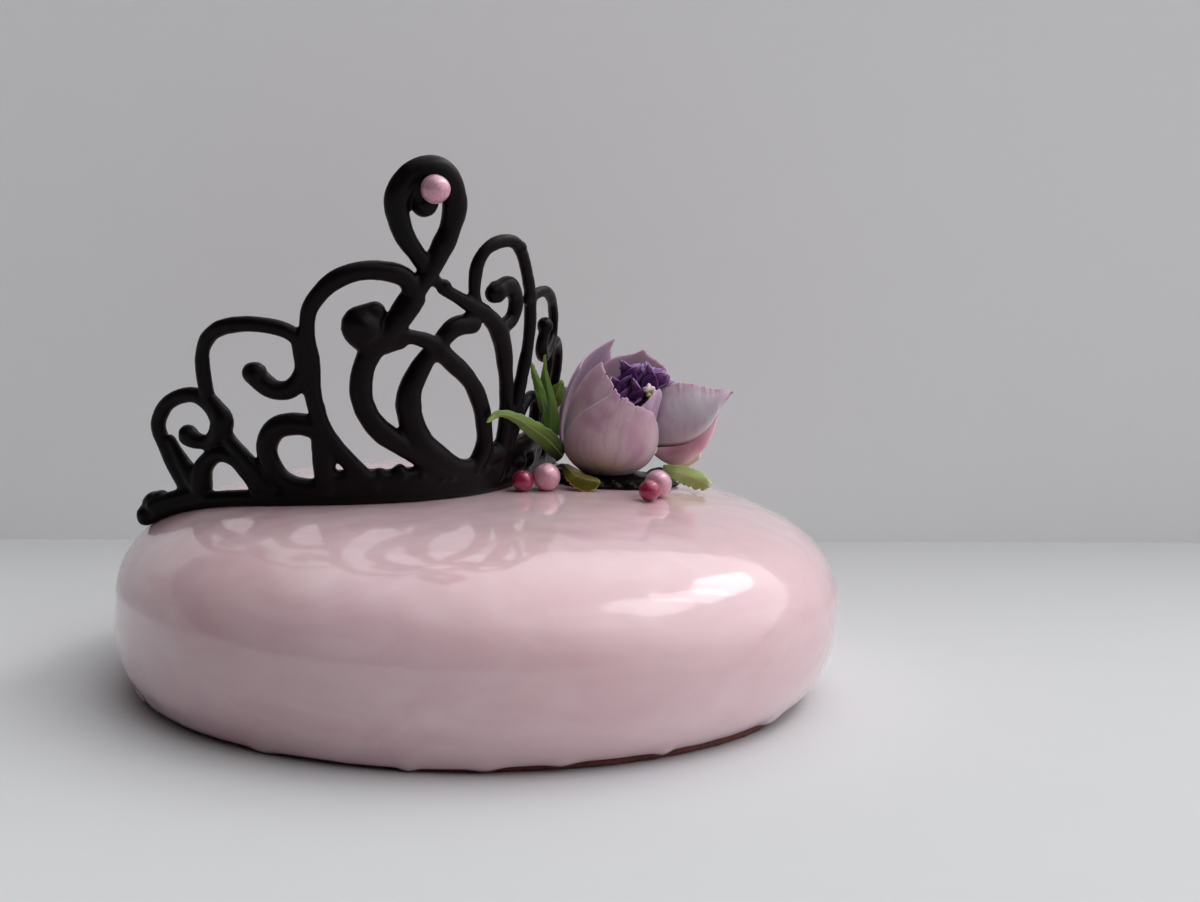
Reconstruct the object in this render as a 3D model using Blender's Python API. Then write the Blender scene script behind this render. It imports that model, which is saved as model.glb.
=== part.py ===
"""Mirror-glazed entremet cake with a piped chocolate tiara, sugar pearls and one open flower.

Metres, +Z up. The origin is the middle of the underside, and the front of the cake faces -Y.
Sizes below are in millimetres and are scaled once, when a mesh is made.
"""

import math

import bmesh
import bpy
from mathutils import Vector

MM = 0.001
GAP = 0.3

# Glazed body: a round mousse with a low dome, wide shoulders and a rolled-in foot
CAKE_RADIUS = 90.0
CAKE_HEIGHT = 48.4
WIDEST_HEIGHT = 22.4
DOME_POWER = 4.5
SHOULDER_POWER = 2.27
FOOT_RADIUS = 74.0
FOOT_POWER = 2.45
FOOT_SHIFT_X = -1.5
BODY_BOTTOM = 2.3
CAKE_SEGMENTS = 52
DRIP_ANGLES = (200.0, 238.0, 263.0, 275.0, 287.0, 305.0, 332.0, 20.0, 95.0, 150.0)

# Biscuit sheet under the mousse
BISCUIT_RADIUS = 81.4
BISCUIT_HEIGHT = 2.0
BISCUIT_SEGMENTS = 44

# Tiara: a flat piped pattern bent round part of a ring, then straight at both ends
RING_CENTRE = (-38.2, 29.5)
RING_RADIUS = 49.0
MIDDLE_ANGLE = math.radians(33.0)
ARC_LEFT = 50.0
ARC_RIGHT = 38.5
FLARE = math.radians(8.0)
WALL_FOOT_HEIGHT = 47.9
STROKE_SIDES = 7
THIN_SIDES = 6
STRAIGHT_STEP = 6.8
TURN_STEP = 0.6
ROPE_STEP = 5.2

# Pearls
LARGE_PEARL = 3.5
SMALL_PEARL = 2.7

# Flower cup
CUP_X = 31.7
CUP_Y = 24.0
CUP_RADIUS = 12.2
CUP_LEAN = 7.0
CUP_LEAN_HEIGHT = 28.0
CUP_BOTTOM = 51.3
CUP_LOW = 11.0
CUP_HIGH = 26.0
PETAL_THICKNESS = 0.8
LEAF_THICKNESS = 0.7


def clear_scene():
    """Remove everything that the start-up scene holds."""
    for obj in list(bpy.data.objects):
        bpy.data.objects.remove(obj, do_unlink=True)
    for mesh in list(bpy.data.meshes):
        bpy.data.meshes.remove(mesh)


def linear(channel):
    """Turn one 0-255 display value into a linear one."""
    value = channel / 255.0
    if value <= 0.04045:
        return value / 12.92
    return ((value + 0.055) / 1.055) ** 2.4


def make_material(name, rgb, roughness, metallic=0.0, coat=0.0):
    """Make a Principled material from a display colour."""
    material = bpy.data.materials.new(name)
    material.use_nodes = True
    shader = material.node_tree.nodes["Principled BSDF"]
    colour = (linear(rgb[0]), linear(rgb[1]), linear(rgb[2]), 1.0)
    shader.inputs["Base Color"].default_value = colour
    shader.inputs["Roughness"].default_value = roughness
    shader.inputs["Metallic"].default_value = metallic
    shader.inputs["Coat Weight"].default_value = coat
    material.diffuse_color = colour
    return material


def add_solid(name, points, faces, material):
    """Make an object from points in millimetres, with its origin at their middle."""
    low = [min(p[i] for p in points) for i in range(3)]
    high = [max(p[i] for p in points) for i in range(3)]
    middle = Vector([(low[i] + high[i]) / 2 for i in range(3)])
    mesh = bpy.data.meshes.new(name)
    mesh.from_pydata([(Vector(p) - middle) * MM for p in points], [], faces)
    shaped = bmesh.new()
    shaped.from_mesh(mesh)
    bmesh.ops.triangulate(shaped, faces=shaped.faces[:])
    bmesh.ops.recalc_face_normals(shaped, faces=shaped.faces[:])
    shaped.to_mesh(mesh)
    shaped.free()
    mesh.polygons.foreach_set("use_smooth", [True] * len(mesh.polygons))
    mesh.materials.append(material)
    obj = bpy.data.objects.new(name, mesh)
    obj.location = middle * MM
    bpy.context.scene.collection.objects.link(obj)
    return obj


def fuse(name, members, material):
    """Join the members into one solid with a Boolean union, and remove them."""
    keep = members[0]
    group = bpy.data.collections.new(name + "_members")
    bpy.context.scene.collection.children.link(group)
    for member in members[1:]:
        bpy.context.scene.collection.objects.unlink(member)
        group.objects.link(member)
    union = keep.modifiers.new("union", "BOOLEAN")
    union.operation = "UNION"
    union.operand_type = "COLLECTION"
    union.solver = "EXACT"
    union.collection = group
    bpy.context.view_layer.update()
    graph = bpy.context.evaluated_depsgraph_get()
    mesh = bpy.data.meshes.new_from_object(keep.evaluated_get(graph))
    keep.modifiers.clear()
    for member in members[1:]:
        bpy.data.objects.remove(member, do_unlink=True)
    bpy.data.collections.remove(group)
    keep.data = mesh
    mesh.materials.clear()
    mesh.materials.append(material)
    shaped = bmesh.new()
    shaped.from_mesh(mesh)
    drop_scraps(shaped)
    bmesh.ops.remove_doubles(shaped, verts=shaped.verts[:], dist=0.00002)
    bmesh.ops.dissolve_degenerate(shaped, edges=shaped.edges[:], dist=0.00002)
    bmesh.ops.triangulate(shaped, faces=shaped.faces[:])
    bmesh.ops.recalc_face_normals(shaped, faces=shaped.faces[:])
    shaped.to_mesh(mesh)
    shaped.free()
    keep.name = name
    mesh.name = name
    return keep


def drop_scraps(shaped):
    """Delete every loose piece of the mesh but its largest."""
    shaped.verts.ensure_lookup_table()
    seen = set()
    pieces = []
    for start in shaped.verts:
        if start.index in seen:
            continue
        seen.add(start.index)
        piece = [start]
        for vert in piece:
            for edge in vert.link_edges:
                other = edge.other_vert(vert)
                if other.index not in seen:
                    seen.add(other.index)
                    piece.append(other)
        pieces.append(piece)
    pieces.sort(key=len)
    loose = [vert for piece in pieces[:-1] for vert in piece]
    bmesh.ops.delete(shaped, geom=loose, context="VERTS")


def spline(knots, position):
    """Smooth curve through the knots (any number of values each), position from 0 to 1."""
    spans = len(knots) - 1
    along = min(max(position, 0.0), 1.0) * spans
    first = min(int(along), spans - 1)
    t = along - first
    before = knots[max(first - 1, 0)]
    here = knots[first]
    there = knots[first + 1]
    after = knots[min(first + 2, spans)]
    result = []
    for a, b, c, d in zip(before, here, there, after):
        curve = 2 * b + (c - a) * t + (2 * a - 5 * b + 4 * c - d) * t * t
        curve += (3 * b - 3 * c + d - a) * t * t * t
        result.append(curve / 2)
    return result


def stroke_path(knots):
    """Points along the smooth curve through the knots, closer together where it turns."""
    fine = [spline(knots, i / 400.0) for i in range(401)]
    lengths = [0.0]
    heading = None
    for one, two in zip(fine, fine[1:]):
        ahead = math.atan2(two[1] - one[1], two[0] - one[0])
        turn = 0.0 if heading is None else abs(math.remainder(ahead - heading, 2 * math.pi))
        heading = ahead
        lengths.append(lengths[-1] + math.dist(one, two) / STRAIGHT_STEP + turn / TURN_STEP)
    count = max(3, round(lengths[-1]))
    path = []
    place = 0
    for i in range(count + 1):
        wanted = lengths[-1] * i / count
        while place < 399 and lengths[place + 1] < wanted:
            place += 1
        span = max(lengths[place + 1] - lengths[place], 1e-9)
        share = (wanted - lengths[place]) / span
        path.append([a + (b - a) * share for a, b in zip(fine[place], fine[place + 1])])
    return path


def at(knots, where):
    """Value at a place, from knots of (place, value), eased between neighbours."""
    if where <= knots[0][0]:
        return knots[0][1]
    for (a, low), (b, high) in zip(knots, knots[1:]):
        if where <= b:
            t = (where - a) / (b - a)
            return low + (high - low) * t
    return knots[-1][1]


# Cake body


def dome_height(radius):
    """Height of the glazed top at a distance from the middle."""
    share = min(abs(radius) / CAKE_RADIUS, 1.0)
    rise = max(1.0 - share**DOME_POWER, 0.0) ** (1.0 / SHOULDER_POWER)
    return WIDEST_HEIGHT + (CAKE_HEIGHT - WIDEST_HEIGHT) * rise


def dome_normal(x, y):
    """Outward unit normal of the glazed top at a plan point."""
    radius = math.hypot(x, y)
    slope = (dome_height(radius + 0.2) - dome_height(radius - 0.2)) / 0.4
    if radius < 0.5:
        return Vector((0.0, 0.0, 1.0))
    return Vector((-slope * x / radius, -slope * y / radius, 1.0)).normalized()


def foot_radius(height):
    """Radius of the glazed side below its widest height."""
    share = min(max((WIDEST_HEIGHT - height) / WIDEST_HEIGHT, 0.0), 1.0)
    reach = max(1.0 - share**FOOT_POWER, 0.0) ** (1.0 / FOOT_POWER)
    return FOOT_RADIUS + (CAKE_RADIUS - FOOT_RADIUS) * reach


def body_profile():
    """Radius and height pairs from the underside, round the side, to the top."""
    profile = []
    for height in (BODY_BOTTOM, 4.4, 8.6, 14.6):
        profile.append((foot_radius(height), height))
    profile.append((CAKE_RADIUS, WIDEST_HEIGHT))
    for degrees in (15.0, 28.0, 40.0, 51.0, 62.0, 73.0):
        turn = math.radians(degrees)
        radius = CAKE_RADIUS * math.cos(turn) ** (2.0 / DOME_POWER)
        profile.append((radius, dome_height(radius)))
    for radius in (26.0,):
        profile.append((radius, dome_height(radius)))
    return profile


def unevenness(angle, height):
    """Small waviness of the poured glaze, in millimetres."""
    wave = 0.35 * math.sin(2 * angle + 0.7) + 0.22 * math.sin(5 * angle + 2.1)
    low = 1.0 - min(height / CAKE_HEIGHT, 1.0)
    return wave * low


def build_cake(material):
    """The mirror-glazed mousse, with the glaze's small drips at its foot."""
    profile = body_profile()
    points = [(FOOT_SHIFT_X, 0.0, BODY_BOTTOM)]
    for radius, height in profile:
        low = max(0.0, 1.0 - height / WIDEST_HEIGHT)
        for i in range(CAKE_SEGMENTS):
            angle = 2 * math.pi * i / CAKE_SEGMENTS
            reach = radius + unevenness(angle, height)
            reach = min(reach, CAKE_RADIUS)
            x = reach * math.cos(angle) + FOOT_SHIFT_X * low
            points.append((x, reach * math.sin(angle), height))
    points.append((0.0, 0.0, CAKE_HEIGHT))
    faces = []
    for i in range(CAKE_SEGMENTS):
        j = (i + 1) % CAKE_SEGMENTS
        faces.append((0, 1 + j, 1 + i))
        for ring in range(len(profile) - 1):
            a = 1 + ring * CAKE_SEGMENTS
            b = a + CAKE_SEGMENTS
            faces.append((a + i, a + j, b + j, b + i))
        last = 1 + (len(profile) - 1) * CAKE_SEGMENTS
        faces.append((last + i, last + j, len(points) - 1))
    body = add_solid("glazed_mousse", points, faces, material)
    members = [body]
    for place, degrees in enumerate(DRIP_ANGLES):
        angle = math.radians(degrees)
        reach = foot_radius(BODY_BOTTOM) + 1.1
        centre = (reach * math.cos(angle) + FOOT_SHIFT_X, reach * math.sin(angle), 1.75)
        width = 2.4 + 0.9 * math.sin(place * 2.3)
        members.append(bead("drip", centre, (width, 1.3, 1.7), angle + math.pi / 2, material))
    return fuse("glazed_mousse", members, material)


def bead(name, centre, radii, turn, material, rings=5, segments=8):
    """An ellipsoid with its first axis turned about Z."""
    points = [(centre[0], centre[1], centre[2] - radii[2])]
    for ring in range(1, rings):
        lift = math.pi * ring / rings
        for i in range(segments):
            angle = 2 * math.pi * i / segments
            along = radii[0] * math.sin(lift) * math.cos(angle)
            across = radii[1] * math.sin(lift) * math.sin(angle)
            x = centre[0] + along * math.cos(turn) - across * math.sin(turn)
            y = centre[1] + along * math.sin(turn) + across * math.cos(turn)
            points.append((x, y, centre[2] - radii[2] * math.cos(lift)))
    points.append((centre[0], centre[1], centre[2] + radii[2]))
    faces = []
    for i in range(segments):
        j = (i + 1) % segments
        faces.append((0, 1 + j, 1 + i))
        for ring in range(rings - 2):
            a = 1 + ring * segments
            faces.append((a + i, a + j, a + segments + j, a + segments + i))
        last = 1 + (rings - 2) * segments
        faces.append((last + i, last + j, len(points) - 1))
    return add_solid(name, points, faces, material)


def build_biscuit(material):
    """The thin biscuit sheet that the mousse stands on."""
    points = []
    outline = []
    for i in range(BISCUIT_SEGMENTS):
        angle = 2 * math.pi * i / BISCUIT_SEGMENTS
        wave = 0.35 * math.sin(7 * angle) + 0.25 * math.sin(11 * angle + 1.0)
        reach = BISCUIT_RADIUS + wave - 0.3
        outline.append((reach * math.cos(angle) + FOOT_SHIFT_X, reach * math.sin(angle)))
    for height, inset in ((0.0, 0.4), (0.7, 0.0), (BISCUIT_HEIGHT, 0.3)):
        shrink = 1.0 - inset / BISCUIT_RADIUS
        for x, y in outline:
            points.append((x * shrink, y * shrink, height))
    faces = [tuple(reversed(range(BISCUIT_SEGMENTS)))]
    for ring in range(2):
        for i in range(BISCUIT_SEGMENTS):
            j = (i + 1) % BISCUIT_SEGMENTS
            a = ring * BISCUIT_SEGMENTS
            faces.append((a + i, a + j, a + BISCUIT_SEGMENTS + j, a + BISCUIT_SEGMENTS + i))
    faces.append(tuple(range(2 * BISCUIT_SEGMENTS, 3 * BISCUIT_SEGMENTS)))
    return add_solid("biscuit_base", points, faces, material)


# Tiara


def wall_plan(along):
    """Plan point and outward direction of the tiara's wall, at a length from its middle."""
    start_x = RING_CENTRE[0] + RING_RADIUS * math.sin(MIDDLE_ANGLE)
    start_y = RING_CENTRE[1] - RING_RADIUS * math.cos(MIDDLE_ANGLE)
    on_arc = min(max(along, -ARC_LEFT), ARC_RIGHT)
    heading = MIDDLE_ANGLE + on_arc / RING_RADIUS
    x = start_x + RING_RADIUS * (math.sin(heading) - math.sin(MIDDLE_ANGLE))
    y = start_y - RING_RADIUS * (math.cos(heading) - math.cos(MIDDLE_ANGLE))
    x += (along - on_arc) * math.cos(heading)
    y += (along - on_arc) * math.sin(heading)
    return x, y, Vector((math.sin(heading), -math.cos(heading), 0.0))


def wall_point(along, up, proud=0.0):
    """Point of the flared wall, and the wall's own normal there."""
    x, y, out = wall_plan(along)
    reach = up * math.sin(FLARE)
    height = WALL_FOOT_HEIGHT + up * math.cos(FLARE)
    point = Vector((x + out.x * reach, y + out.y * reach, height))
    normal = out * math.cos(FLARE) - Vector((0.0, 0.0, math.sin(FLARE)))
    return point + normal * proud, normal


def tube(name, centres, normals, radii, material, sides=STROKE_SIDES, depth=0.9):
    """A piped stroke with rounded ends, through the centres."""
    count = len(centres)
    tangents = []
    for i in range(count):
        ahead = centres[min(i + 1, count - 1)]
        behind = centres[max(i - 1, 0)]
        tangents.append((ahead - behind).normalized())
    rings = []
    start = tangents[0]
    end = tangents[-1]
    for back, size in ((0.95, 0.42), (0.6, 0.82)):
        rings.append((centres[0] - start * radii[0] * back, 0, radii[0] * size))
    for i in range(count):
        rings.append((centres[i], i, radii[i]))
    for ahead, size in ((0.6, 0.82), (0.95, 0.42)):
        rings.append((centres[-1] + end * radii[-1] * ahead, count - 1, radii[-1] * size))
    points = []
    for centre, i, radius in rings:
        normal = normals[i]
        side = tangents[i].cross(normal).normalized()
        normal = side.cross(tangents[i]).normalized()
        for k in range(sides):
            angle = 2 * math.pi * (k + 0.5) / sides
            offset = normal * math.cos(angle) * depth + side * math.sin(angle)
            points.append(centre + offset * radius)
    faces = [tuple(reversed(range(sides)))]
    for ring in range(len(rings) - 1):
        for k in range(sides):
            n = (k + 1) % sides
            a = ring * sides
            faces.append((a + k, a + n, a + sides + n, a + sides + k))
    faces.append(tuple(range((len(rings) - 1) * sides, len(rings) * sides)))
    return add_solid(name, points, faces, material)


def stroke(knots, radii, proud, material):
    """One piped line of the flat pattern, bent onto the wall."""
    path = stroke_path(knots)
    centres = []
    normals = []
    sizes = []
    for i, (along, up) in enumerate(path):
        centre, normal = wall_point(along, up, proud)
        centres.append(centre)
        normals.append(normal)
        sizes.append(spline([(r,) for r in radii], i / (len(path) - 1))[0])
    sides = THIN_SIDES if max(radii) < 2.05 else STROKE_SIDES
    return tube("stroke", centres, normals, sizes, material, sides=sides)


def foot_rope(first, last, radius, lift, material):
    """The piped line that the tiara stands on, laid on the glazed top."""
    count = round((last - first) / ROPE_STEP)
    centres = []
    normals = []
    for i in range(count + 1):
        x, y, out = wall_plan(first + (last - first) * i / count)
        x += out.x * lift * math.sin(FLARE)
        y += out.y * lift * math.sin(FLARE)
        up = dome_normal(x, y)
        base = Vector((x, y, dome_height(math.hypot(x, y))))
        centres.append(base + up * (radius + GAP + lift))
        normals.append(out)
    return tube("rope", centres, normals, [radius] * len(centres), material, depth=1.0)


# Flat pattern of the tiara: (length from the middle, height) in millimetres, then stroke radii
LEFT_SMALL = [(-62.6, -0.3), (-66.5, 5.8), (-69.8, 12.6), (-70.8, 17.5), (-68.4, 21.9),
              (-64, 24.8), (-59.2, 25.5), (-54.8, 23.2), (-52.8, 19.7)]
LEFT_SMALL_SCROLL = [(-53.8, 24.3), (-51.6, 20.3), (-53.3, 16.3), (-57.3, 13.9), (-62.3, 14.8)]
LEFT_TALL = [(-40.4, 3.6), (-46, 10.6), (-51.5, 17), (-55, 24.6), (-56.4, 32.6), (-55.4, 38.5),
             (-51, 42.8), (-43.2, 44.9), (-35.6, 43.9), (-31.2, 40.6)]
LEFT_TALL_SCROLL = [(-32.1, 40.5), (-31.6, 34.5), (-33.9, 29.5), (-38.6, 28.9), (-43.1, 32.6)]
LEFT_ARCH = [(-15.4, 5.6), (-21.5, 11.6), (-27, 19.1), (-29.2, 27.6), (-29.5, 36.6),
             (-30.5, 43.6), (-29.3, 50.5), (-24.5, 56.5), (-17.4, 58.9), (-10.6, 57.1), (-7.8, 51.6)]
LEFT_ARCH_SCROLL = [(-10.8, 41.5), (-14.8, 41.3), (-18.6, 42.8), (-20.2, 46), (-16.9, 49)]
LEFT_LOOP_OUTER = [(-59.6, 2.4), (-58.6, 7), (-54.6, 11), (-49.7, 10.9), (-45.9, 7.3),
                   (-43.5, 3.6)]
LEFT_LOOP_INNER = [(-28, 19.4), (-33.4, 20.4), (-38.3, 19), (-40.7, 14), (-39.4, 8.8),
                   (-34.6, 4.9), (-27.5, 4)]
MIDDLE_POST = [(-28.5, 25), (-27.5, 15), (-26.5, 4.6)]
TOP_LOOP = [(3, 53), (-3.3, 55.6), (-8, 62.3), (-11.6, 69), (-12.8, 76.2), (-9.7, 82.2),
            (-4.3, 82.5), (-0.9, 76.7), (-1, 69), (-3.6, 61.8), (-7.1, 55), (-11.5, 47)]
TOP_CURL = [(-5, 82), (-6.8, 78.3), (-6.6, 74.6)]
CURVED_LEG = [(-9, 50.5), (-12.5, 45), (-16.6, 39.5), (-18.6, 33), (-18.4, 26), (-14.9, 19.9),
              (-8.2, 14.7), (-2, 10.2), (4, 6.6)]
RIGHT_LEG = [(-2, 54), (3.5, 50.7), (9.7, 47), (14.7, 42), (18.2, 33), (20.7, 23), (21.5, 14),
             (20, 5.4)]
BRIDGE = [(-11, 43), (-5.5, 41.6), (-1, 39.6)]
HEART_LEFT = [(6.4, 44.8), (1.8, 44), (-2.4, 39), (-5.8, 34), (-7.7, 28), (-7.1, 21.6),
              (-4.2, 15.6), (0.8, 11.3), (7.2, 8), (13, 8.3)]
HEART_RIGHT = [(-1.5, 38.5), (4.5, 33.3), (10, 26.8), (13.2, 19.3), (14.2, 13), (11.4, 7.5)]
RIGHT_ARCH = [(8, 47), (6.2, 52.6), (6, 58.8), (8.3, 63.4), (13, 65), (17.5, 63.2), (21.6, 57),
              (25, 49), (26.8, 39.5), (26.3, 30), (25, 20), (24, 6)]
RIGHT_ARCH_SCROLL = [(14.5, 42.8), (18.8, 45), (19.5, 49.8), (16.2, 53.6), (12.2, 52)]
RIGHT_TALL = [(23.5, 49.5), (29, 50.8), (34.5, 49.8), (41, 45), (45.5, 38), (46, 29), (43, 18),
              (41, 5)]
RIGHT_TALL_SCROLL = [(45.2, 37.5), (38.6, 33.3), (34.8, 35.8), (35.6, 40.5)]
RIGHT_SMALL = [(45, 33), (50, 35.5), (56, 32.5), (58.5, 25), (57, 14), (56, 3.2)]
RIGHT_LOOP = [(24, 11), (27, 18.5), (31, 23), (36, 22.5), (39.5, 16.5), (40, 6)]
RIGHT_LOOP_OUTER = [(57, 10), (61.5, 12), (65.5, 8), (66, 3)]

PATTERN = (
    (LEFT_SMALL, (1.9, 1.9, 1.9, 2.4), 0.0),
    (LEFT_SMALL_SCROLL, (1.9, 3.0, 1.9, 2.3), 0.3),
    (LEFT_TALL, (2.0, 1.9, 1.9, 1.9), 0.2),
    (LEFT_TALL_SCROLL, (2.0, 2.3, 2.7), -0.1),
    (LEFT_ARCH, (2.1, 2.1, 1.9, 2.3, 2.5), 0.4),
    (LEFT_ARCH_SCROLL, (2.4, 3.6, 4.0, 3.6, 1.8), 0.1),
    (LEFT_LOOP_OUTER, (3.0, 2.3, 2.1, 2.1), 0.15),
    (LEFT_LOOP_INNER, (2.7, 2.8, 2.4, 2.6), -0.2),
    (MIDDLE_POST, (2.0, 2.7, 2.7), 0.05),
    (TOP_LOOP, (1.4, 2.4, 3.1, 3.1, 2.9, 2.6, 2.9), 0.0),
    (TOP_CURL, (2.6, 2.8, 2.7), -0.4),
    (CURVED_LEG, (3.0, 2.8, 2.8, 2.7, 2.0), 0.35),
    (RIGHT_LEG, (1.4, 1.8, 1.8, 2.0, 2.3), 0.3),
    (BRIDGE, (1.8, 1.9), 0.55),
    (HEART_LEFT, (2.6, 2.3, 3.1, 3.4, 3.0, 2.1), -0.15),
    (HEART_RIGHT, (2.3, 1.9, 1.8, 2.1), 0.25),
    (RIGHT_ARCH, (1.5, 1.5, 1.5, 1.6, 2.0), 0.1),
    (RIGHT_ARCH_SCROLL, (1.7, 1.7, 2.6), -0.2),
    (RIGHT_TALL, (1.5, 1.4, 1.4, 1.7), 0.2),
    (RIGHT_TALL_SCROLL, (1.5, 1.7, 1.6), 0.4),
    (RIGHT_SMALL, (1.4, 1.5, 1.7), 0.05),
    (RIGHT_LOOP, (1.7, 1.5, 1.8), 0.25),
    (RIGHT_LOOP_OUTER, (1.6, 1.5, 1.7), 0.0),
)


def build_tiara(material):
    """The piped chocolate tiara: its foot rope and all its strokes, joined."""
    members = [foot_rope(-73.0, 74.0, 2.05, 0.0, material)]
    members.append(foot_rope(-25.0, 47.0, 2.3, 4.2, material))
    members.append(foot_rope(17.0, 45.0, 2.8, 7.2, material))
    members.append(foot_rope(-71.5, -58.0, 1.9, 2.2, material))
    for knots, radii, proud in PATTERN:
        members.append(stroke(knots, radii, proud, material))
    for along, size in ((-74.3, 2.3), (-71.0, 2.2)):
        x, y, _ = wall_plan(along)
        up = dome_normal(x, y)
        centre = Vector((x, y, dome_height(math.hypot(x, y)))) + up * (size + GAP + 0.1)
        members.append(bead("knob", centre, (size, size, size), 0.0, material))
    return fuse("chocolate_tiara", members, material)


# Flower


def cup_point(degrees, rise, layer, flare=0.0):
    """Point of the flower's cup. Rise is the height over the cup's bottom."""
    height = min(max(rise, 0.0), 36.0)
    middle = CUP_BOTTOM + CUP_LOW
    level = CUP_BOTTOM + height
    if level < middle:
        share = min((middle - level) / CUP_LOW, 1.0)
        lift = middle - share * (CUP_LOW + layer)
        reach = (CUP_RADIUS + layer) * math.sqrt(max(1.0 - share * share, 0.0))
    else:
        share = (level - middle) / (CUP_HIGH + 4.0)
        lift = level
        closing = 1.0 - math.sqrt(max(1.0 - share * share, 0.0))
        reach = CUP_RADIUS + layer - (CUP_RADIUS * closing * (1.0 - flare))
    reach += flare * 2.0 * max(height / CUP_LEAN_HEIGHT, 0.0) ** 2
    lean = CUP_LEAN * (height / CUP_LEAN_HEIGHT) ** 3
    angle = math.radians(degrees)
    x = CUP_X + lean + reach * math.cos(angle)
    return Vector((x, CUP_Y + reach * math.sin(angle), lift))


def thin_sheet(name, grid, thickness, material):
    """A thin solid with both faces split alike, from a grid of points on its outer face."""
    rows = len(grid)
    cols = len(grid[0])
    normals = []
    for r in range(rows):
        for c in range(cols):
            along = grid[min(r + 1, rows - 1)][c] - grid[max(r - 1, 0)][c]
            across = grid[r][min(c + 1, cols - 1)] - grid[r][max(c - 1, 0)]
            normals.append(along.cross(across).normalized())
    outer = [point for row in grid for point in row]
    inner = [point + normal * thickness for point, normal in zip(outer, normals)]
    size = rows * cols
    faces = []
    for r in range(rows - 1):
        for c in range(cols - 1):
            a = r * cols + c
            b, d, e = a + 1, a + cols, a + cols + 1
            if (r + c) % 2:
                pair = ((a, b, e), (a, e, d))
            else:
                pair = ((a, b, d), (b, e, d))
            for face in pair:
                faces.append(face)
                faces.append(tuple(size + i for i in reversed(face)))
    edge = [c for c in range(cols)]
    edge += [r * cols + cols - 1 for r in range(1, rows)]
    edge += [(rows - 1) * cols + c for c in range(cols - 2, -1, -1)]
    edge += [r * cols for r in range(rows - 2, 0, -1)]
    for i, a in enumerate(edge):
        b = edge[(i + 1) % len(edge)]
        faces.append((a, size + a, size + b, b))
    return add_solid(name, outer + inner, faces, material)


def cup_petal(name, layer, rim, material, flare=0.0, base=1.2, cols=9, rows=7, wave=0.25):
    """A petal that lies on the cup. Rim holds (angle, height) knots along its free edge."""
    first = rim[0][0]
    last = rim[-1][0]
    grid = []
    for r in range(rows):
        t = r / (rows - 1)
        row = []
        for c in range(cols):
            s = c / (cols - 1)
            edge = at(rim, first + (last - first) * s)
            middle = (first + last) / 2
            spread = 0.72 + 0.28 * min(t * 2.5, 1.0)
            angle = middle + (first + (last - first) * s - middle) * spread
            rise = base + (edge - base) * t**1.15
            curl = wave * math.sin(s * 9.0 + layer) * t * t
            row.append(cup_point(angle, rise, layer + curl, flare))
        grid.append(row)
    return thin_sheet(name, grid, PETAL_THICKNESS, material)


def patch_petal(name, lower, upper, bulge, material, thickness=PETAL_THICKNESS, cols=9, rows=6):
    """A cupped petal between two edge curves, bulging the given way in its middle."""
    grid = []
    for r in range(rows):
        t = r / (rows - 1)
        row = []
        for c in range(cols):
            s = c / (cols - 1)
            low = Vector(spline(lower, s))
            high = Vector(spline(upper, s))
            swell = 4 * t * (1 - t) * math.sin(math.pi * (0.12 + 0.8 * s))
            row.append(low.lerp(high, t) + Vector(bulge) * swell)
        grid.append(row)
    return thin_sheet(name, grid, thickness, material)


def leaf(name, centres, widths, side, fold, material, rows=8):
    """A narrow blade along a curve: side is its width direction, fold its V depth."""
    grid = []
    side = Vector(side).normalized()
    for r in range(rows):
        t = r / (rows - 1)
        centre = Vector(spline(centres, t))
        ahead = Vector(spline(centres, min(t + 0.02, 1.0)))
        behind = Vector(spline(centres, max(t - 0.02, 0.0)))
        along = (ahead - behind).normalized()
        across = (side - along * side.dot(along)).normalized()
        deep = along.cross(across)
        half = spline([(w,) for w in widths], t)[0] / 2
        row = []
        for s in (-1.0, 0.0, 1.0):
            ripple = 0.12 * half * math.sin(7.0 * t + 2.0 * s)
            row.append(centre + across * half * s + deep * (fold * abs(s) * half + ripple))
        grid.append(row)
    return thin_sheet(name, grid, LEAF_THICKNESS, material)


FRONT_RIM = ((197, 25), (204, 28.5), (226, 26.5), (248, 24), (263, 21.5), (286, 18.7),
             (316, 16.1), (332, 12), (343, 7))
LEFT_RIM = ((150, 19), (172, 21), (186, 18), (192, 12))
BACK_LEFT_RIM = ((98, 25), (110, 29), (121, 32.5), (140, 31), (160, 29.5), (187, 26))
BACK_RIM = ((18, 20), (35, 25), (50, 26), (75, 28), (88, 29.6), (95, 28.3), (118, 27.5),
            (132, 25))
INNER_RIM = ((302, 17), (320, 20.5), (334, 21.5), (347, 19.5))


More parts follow.
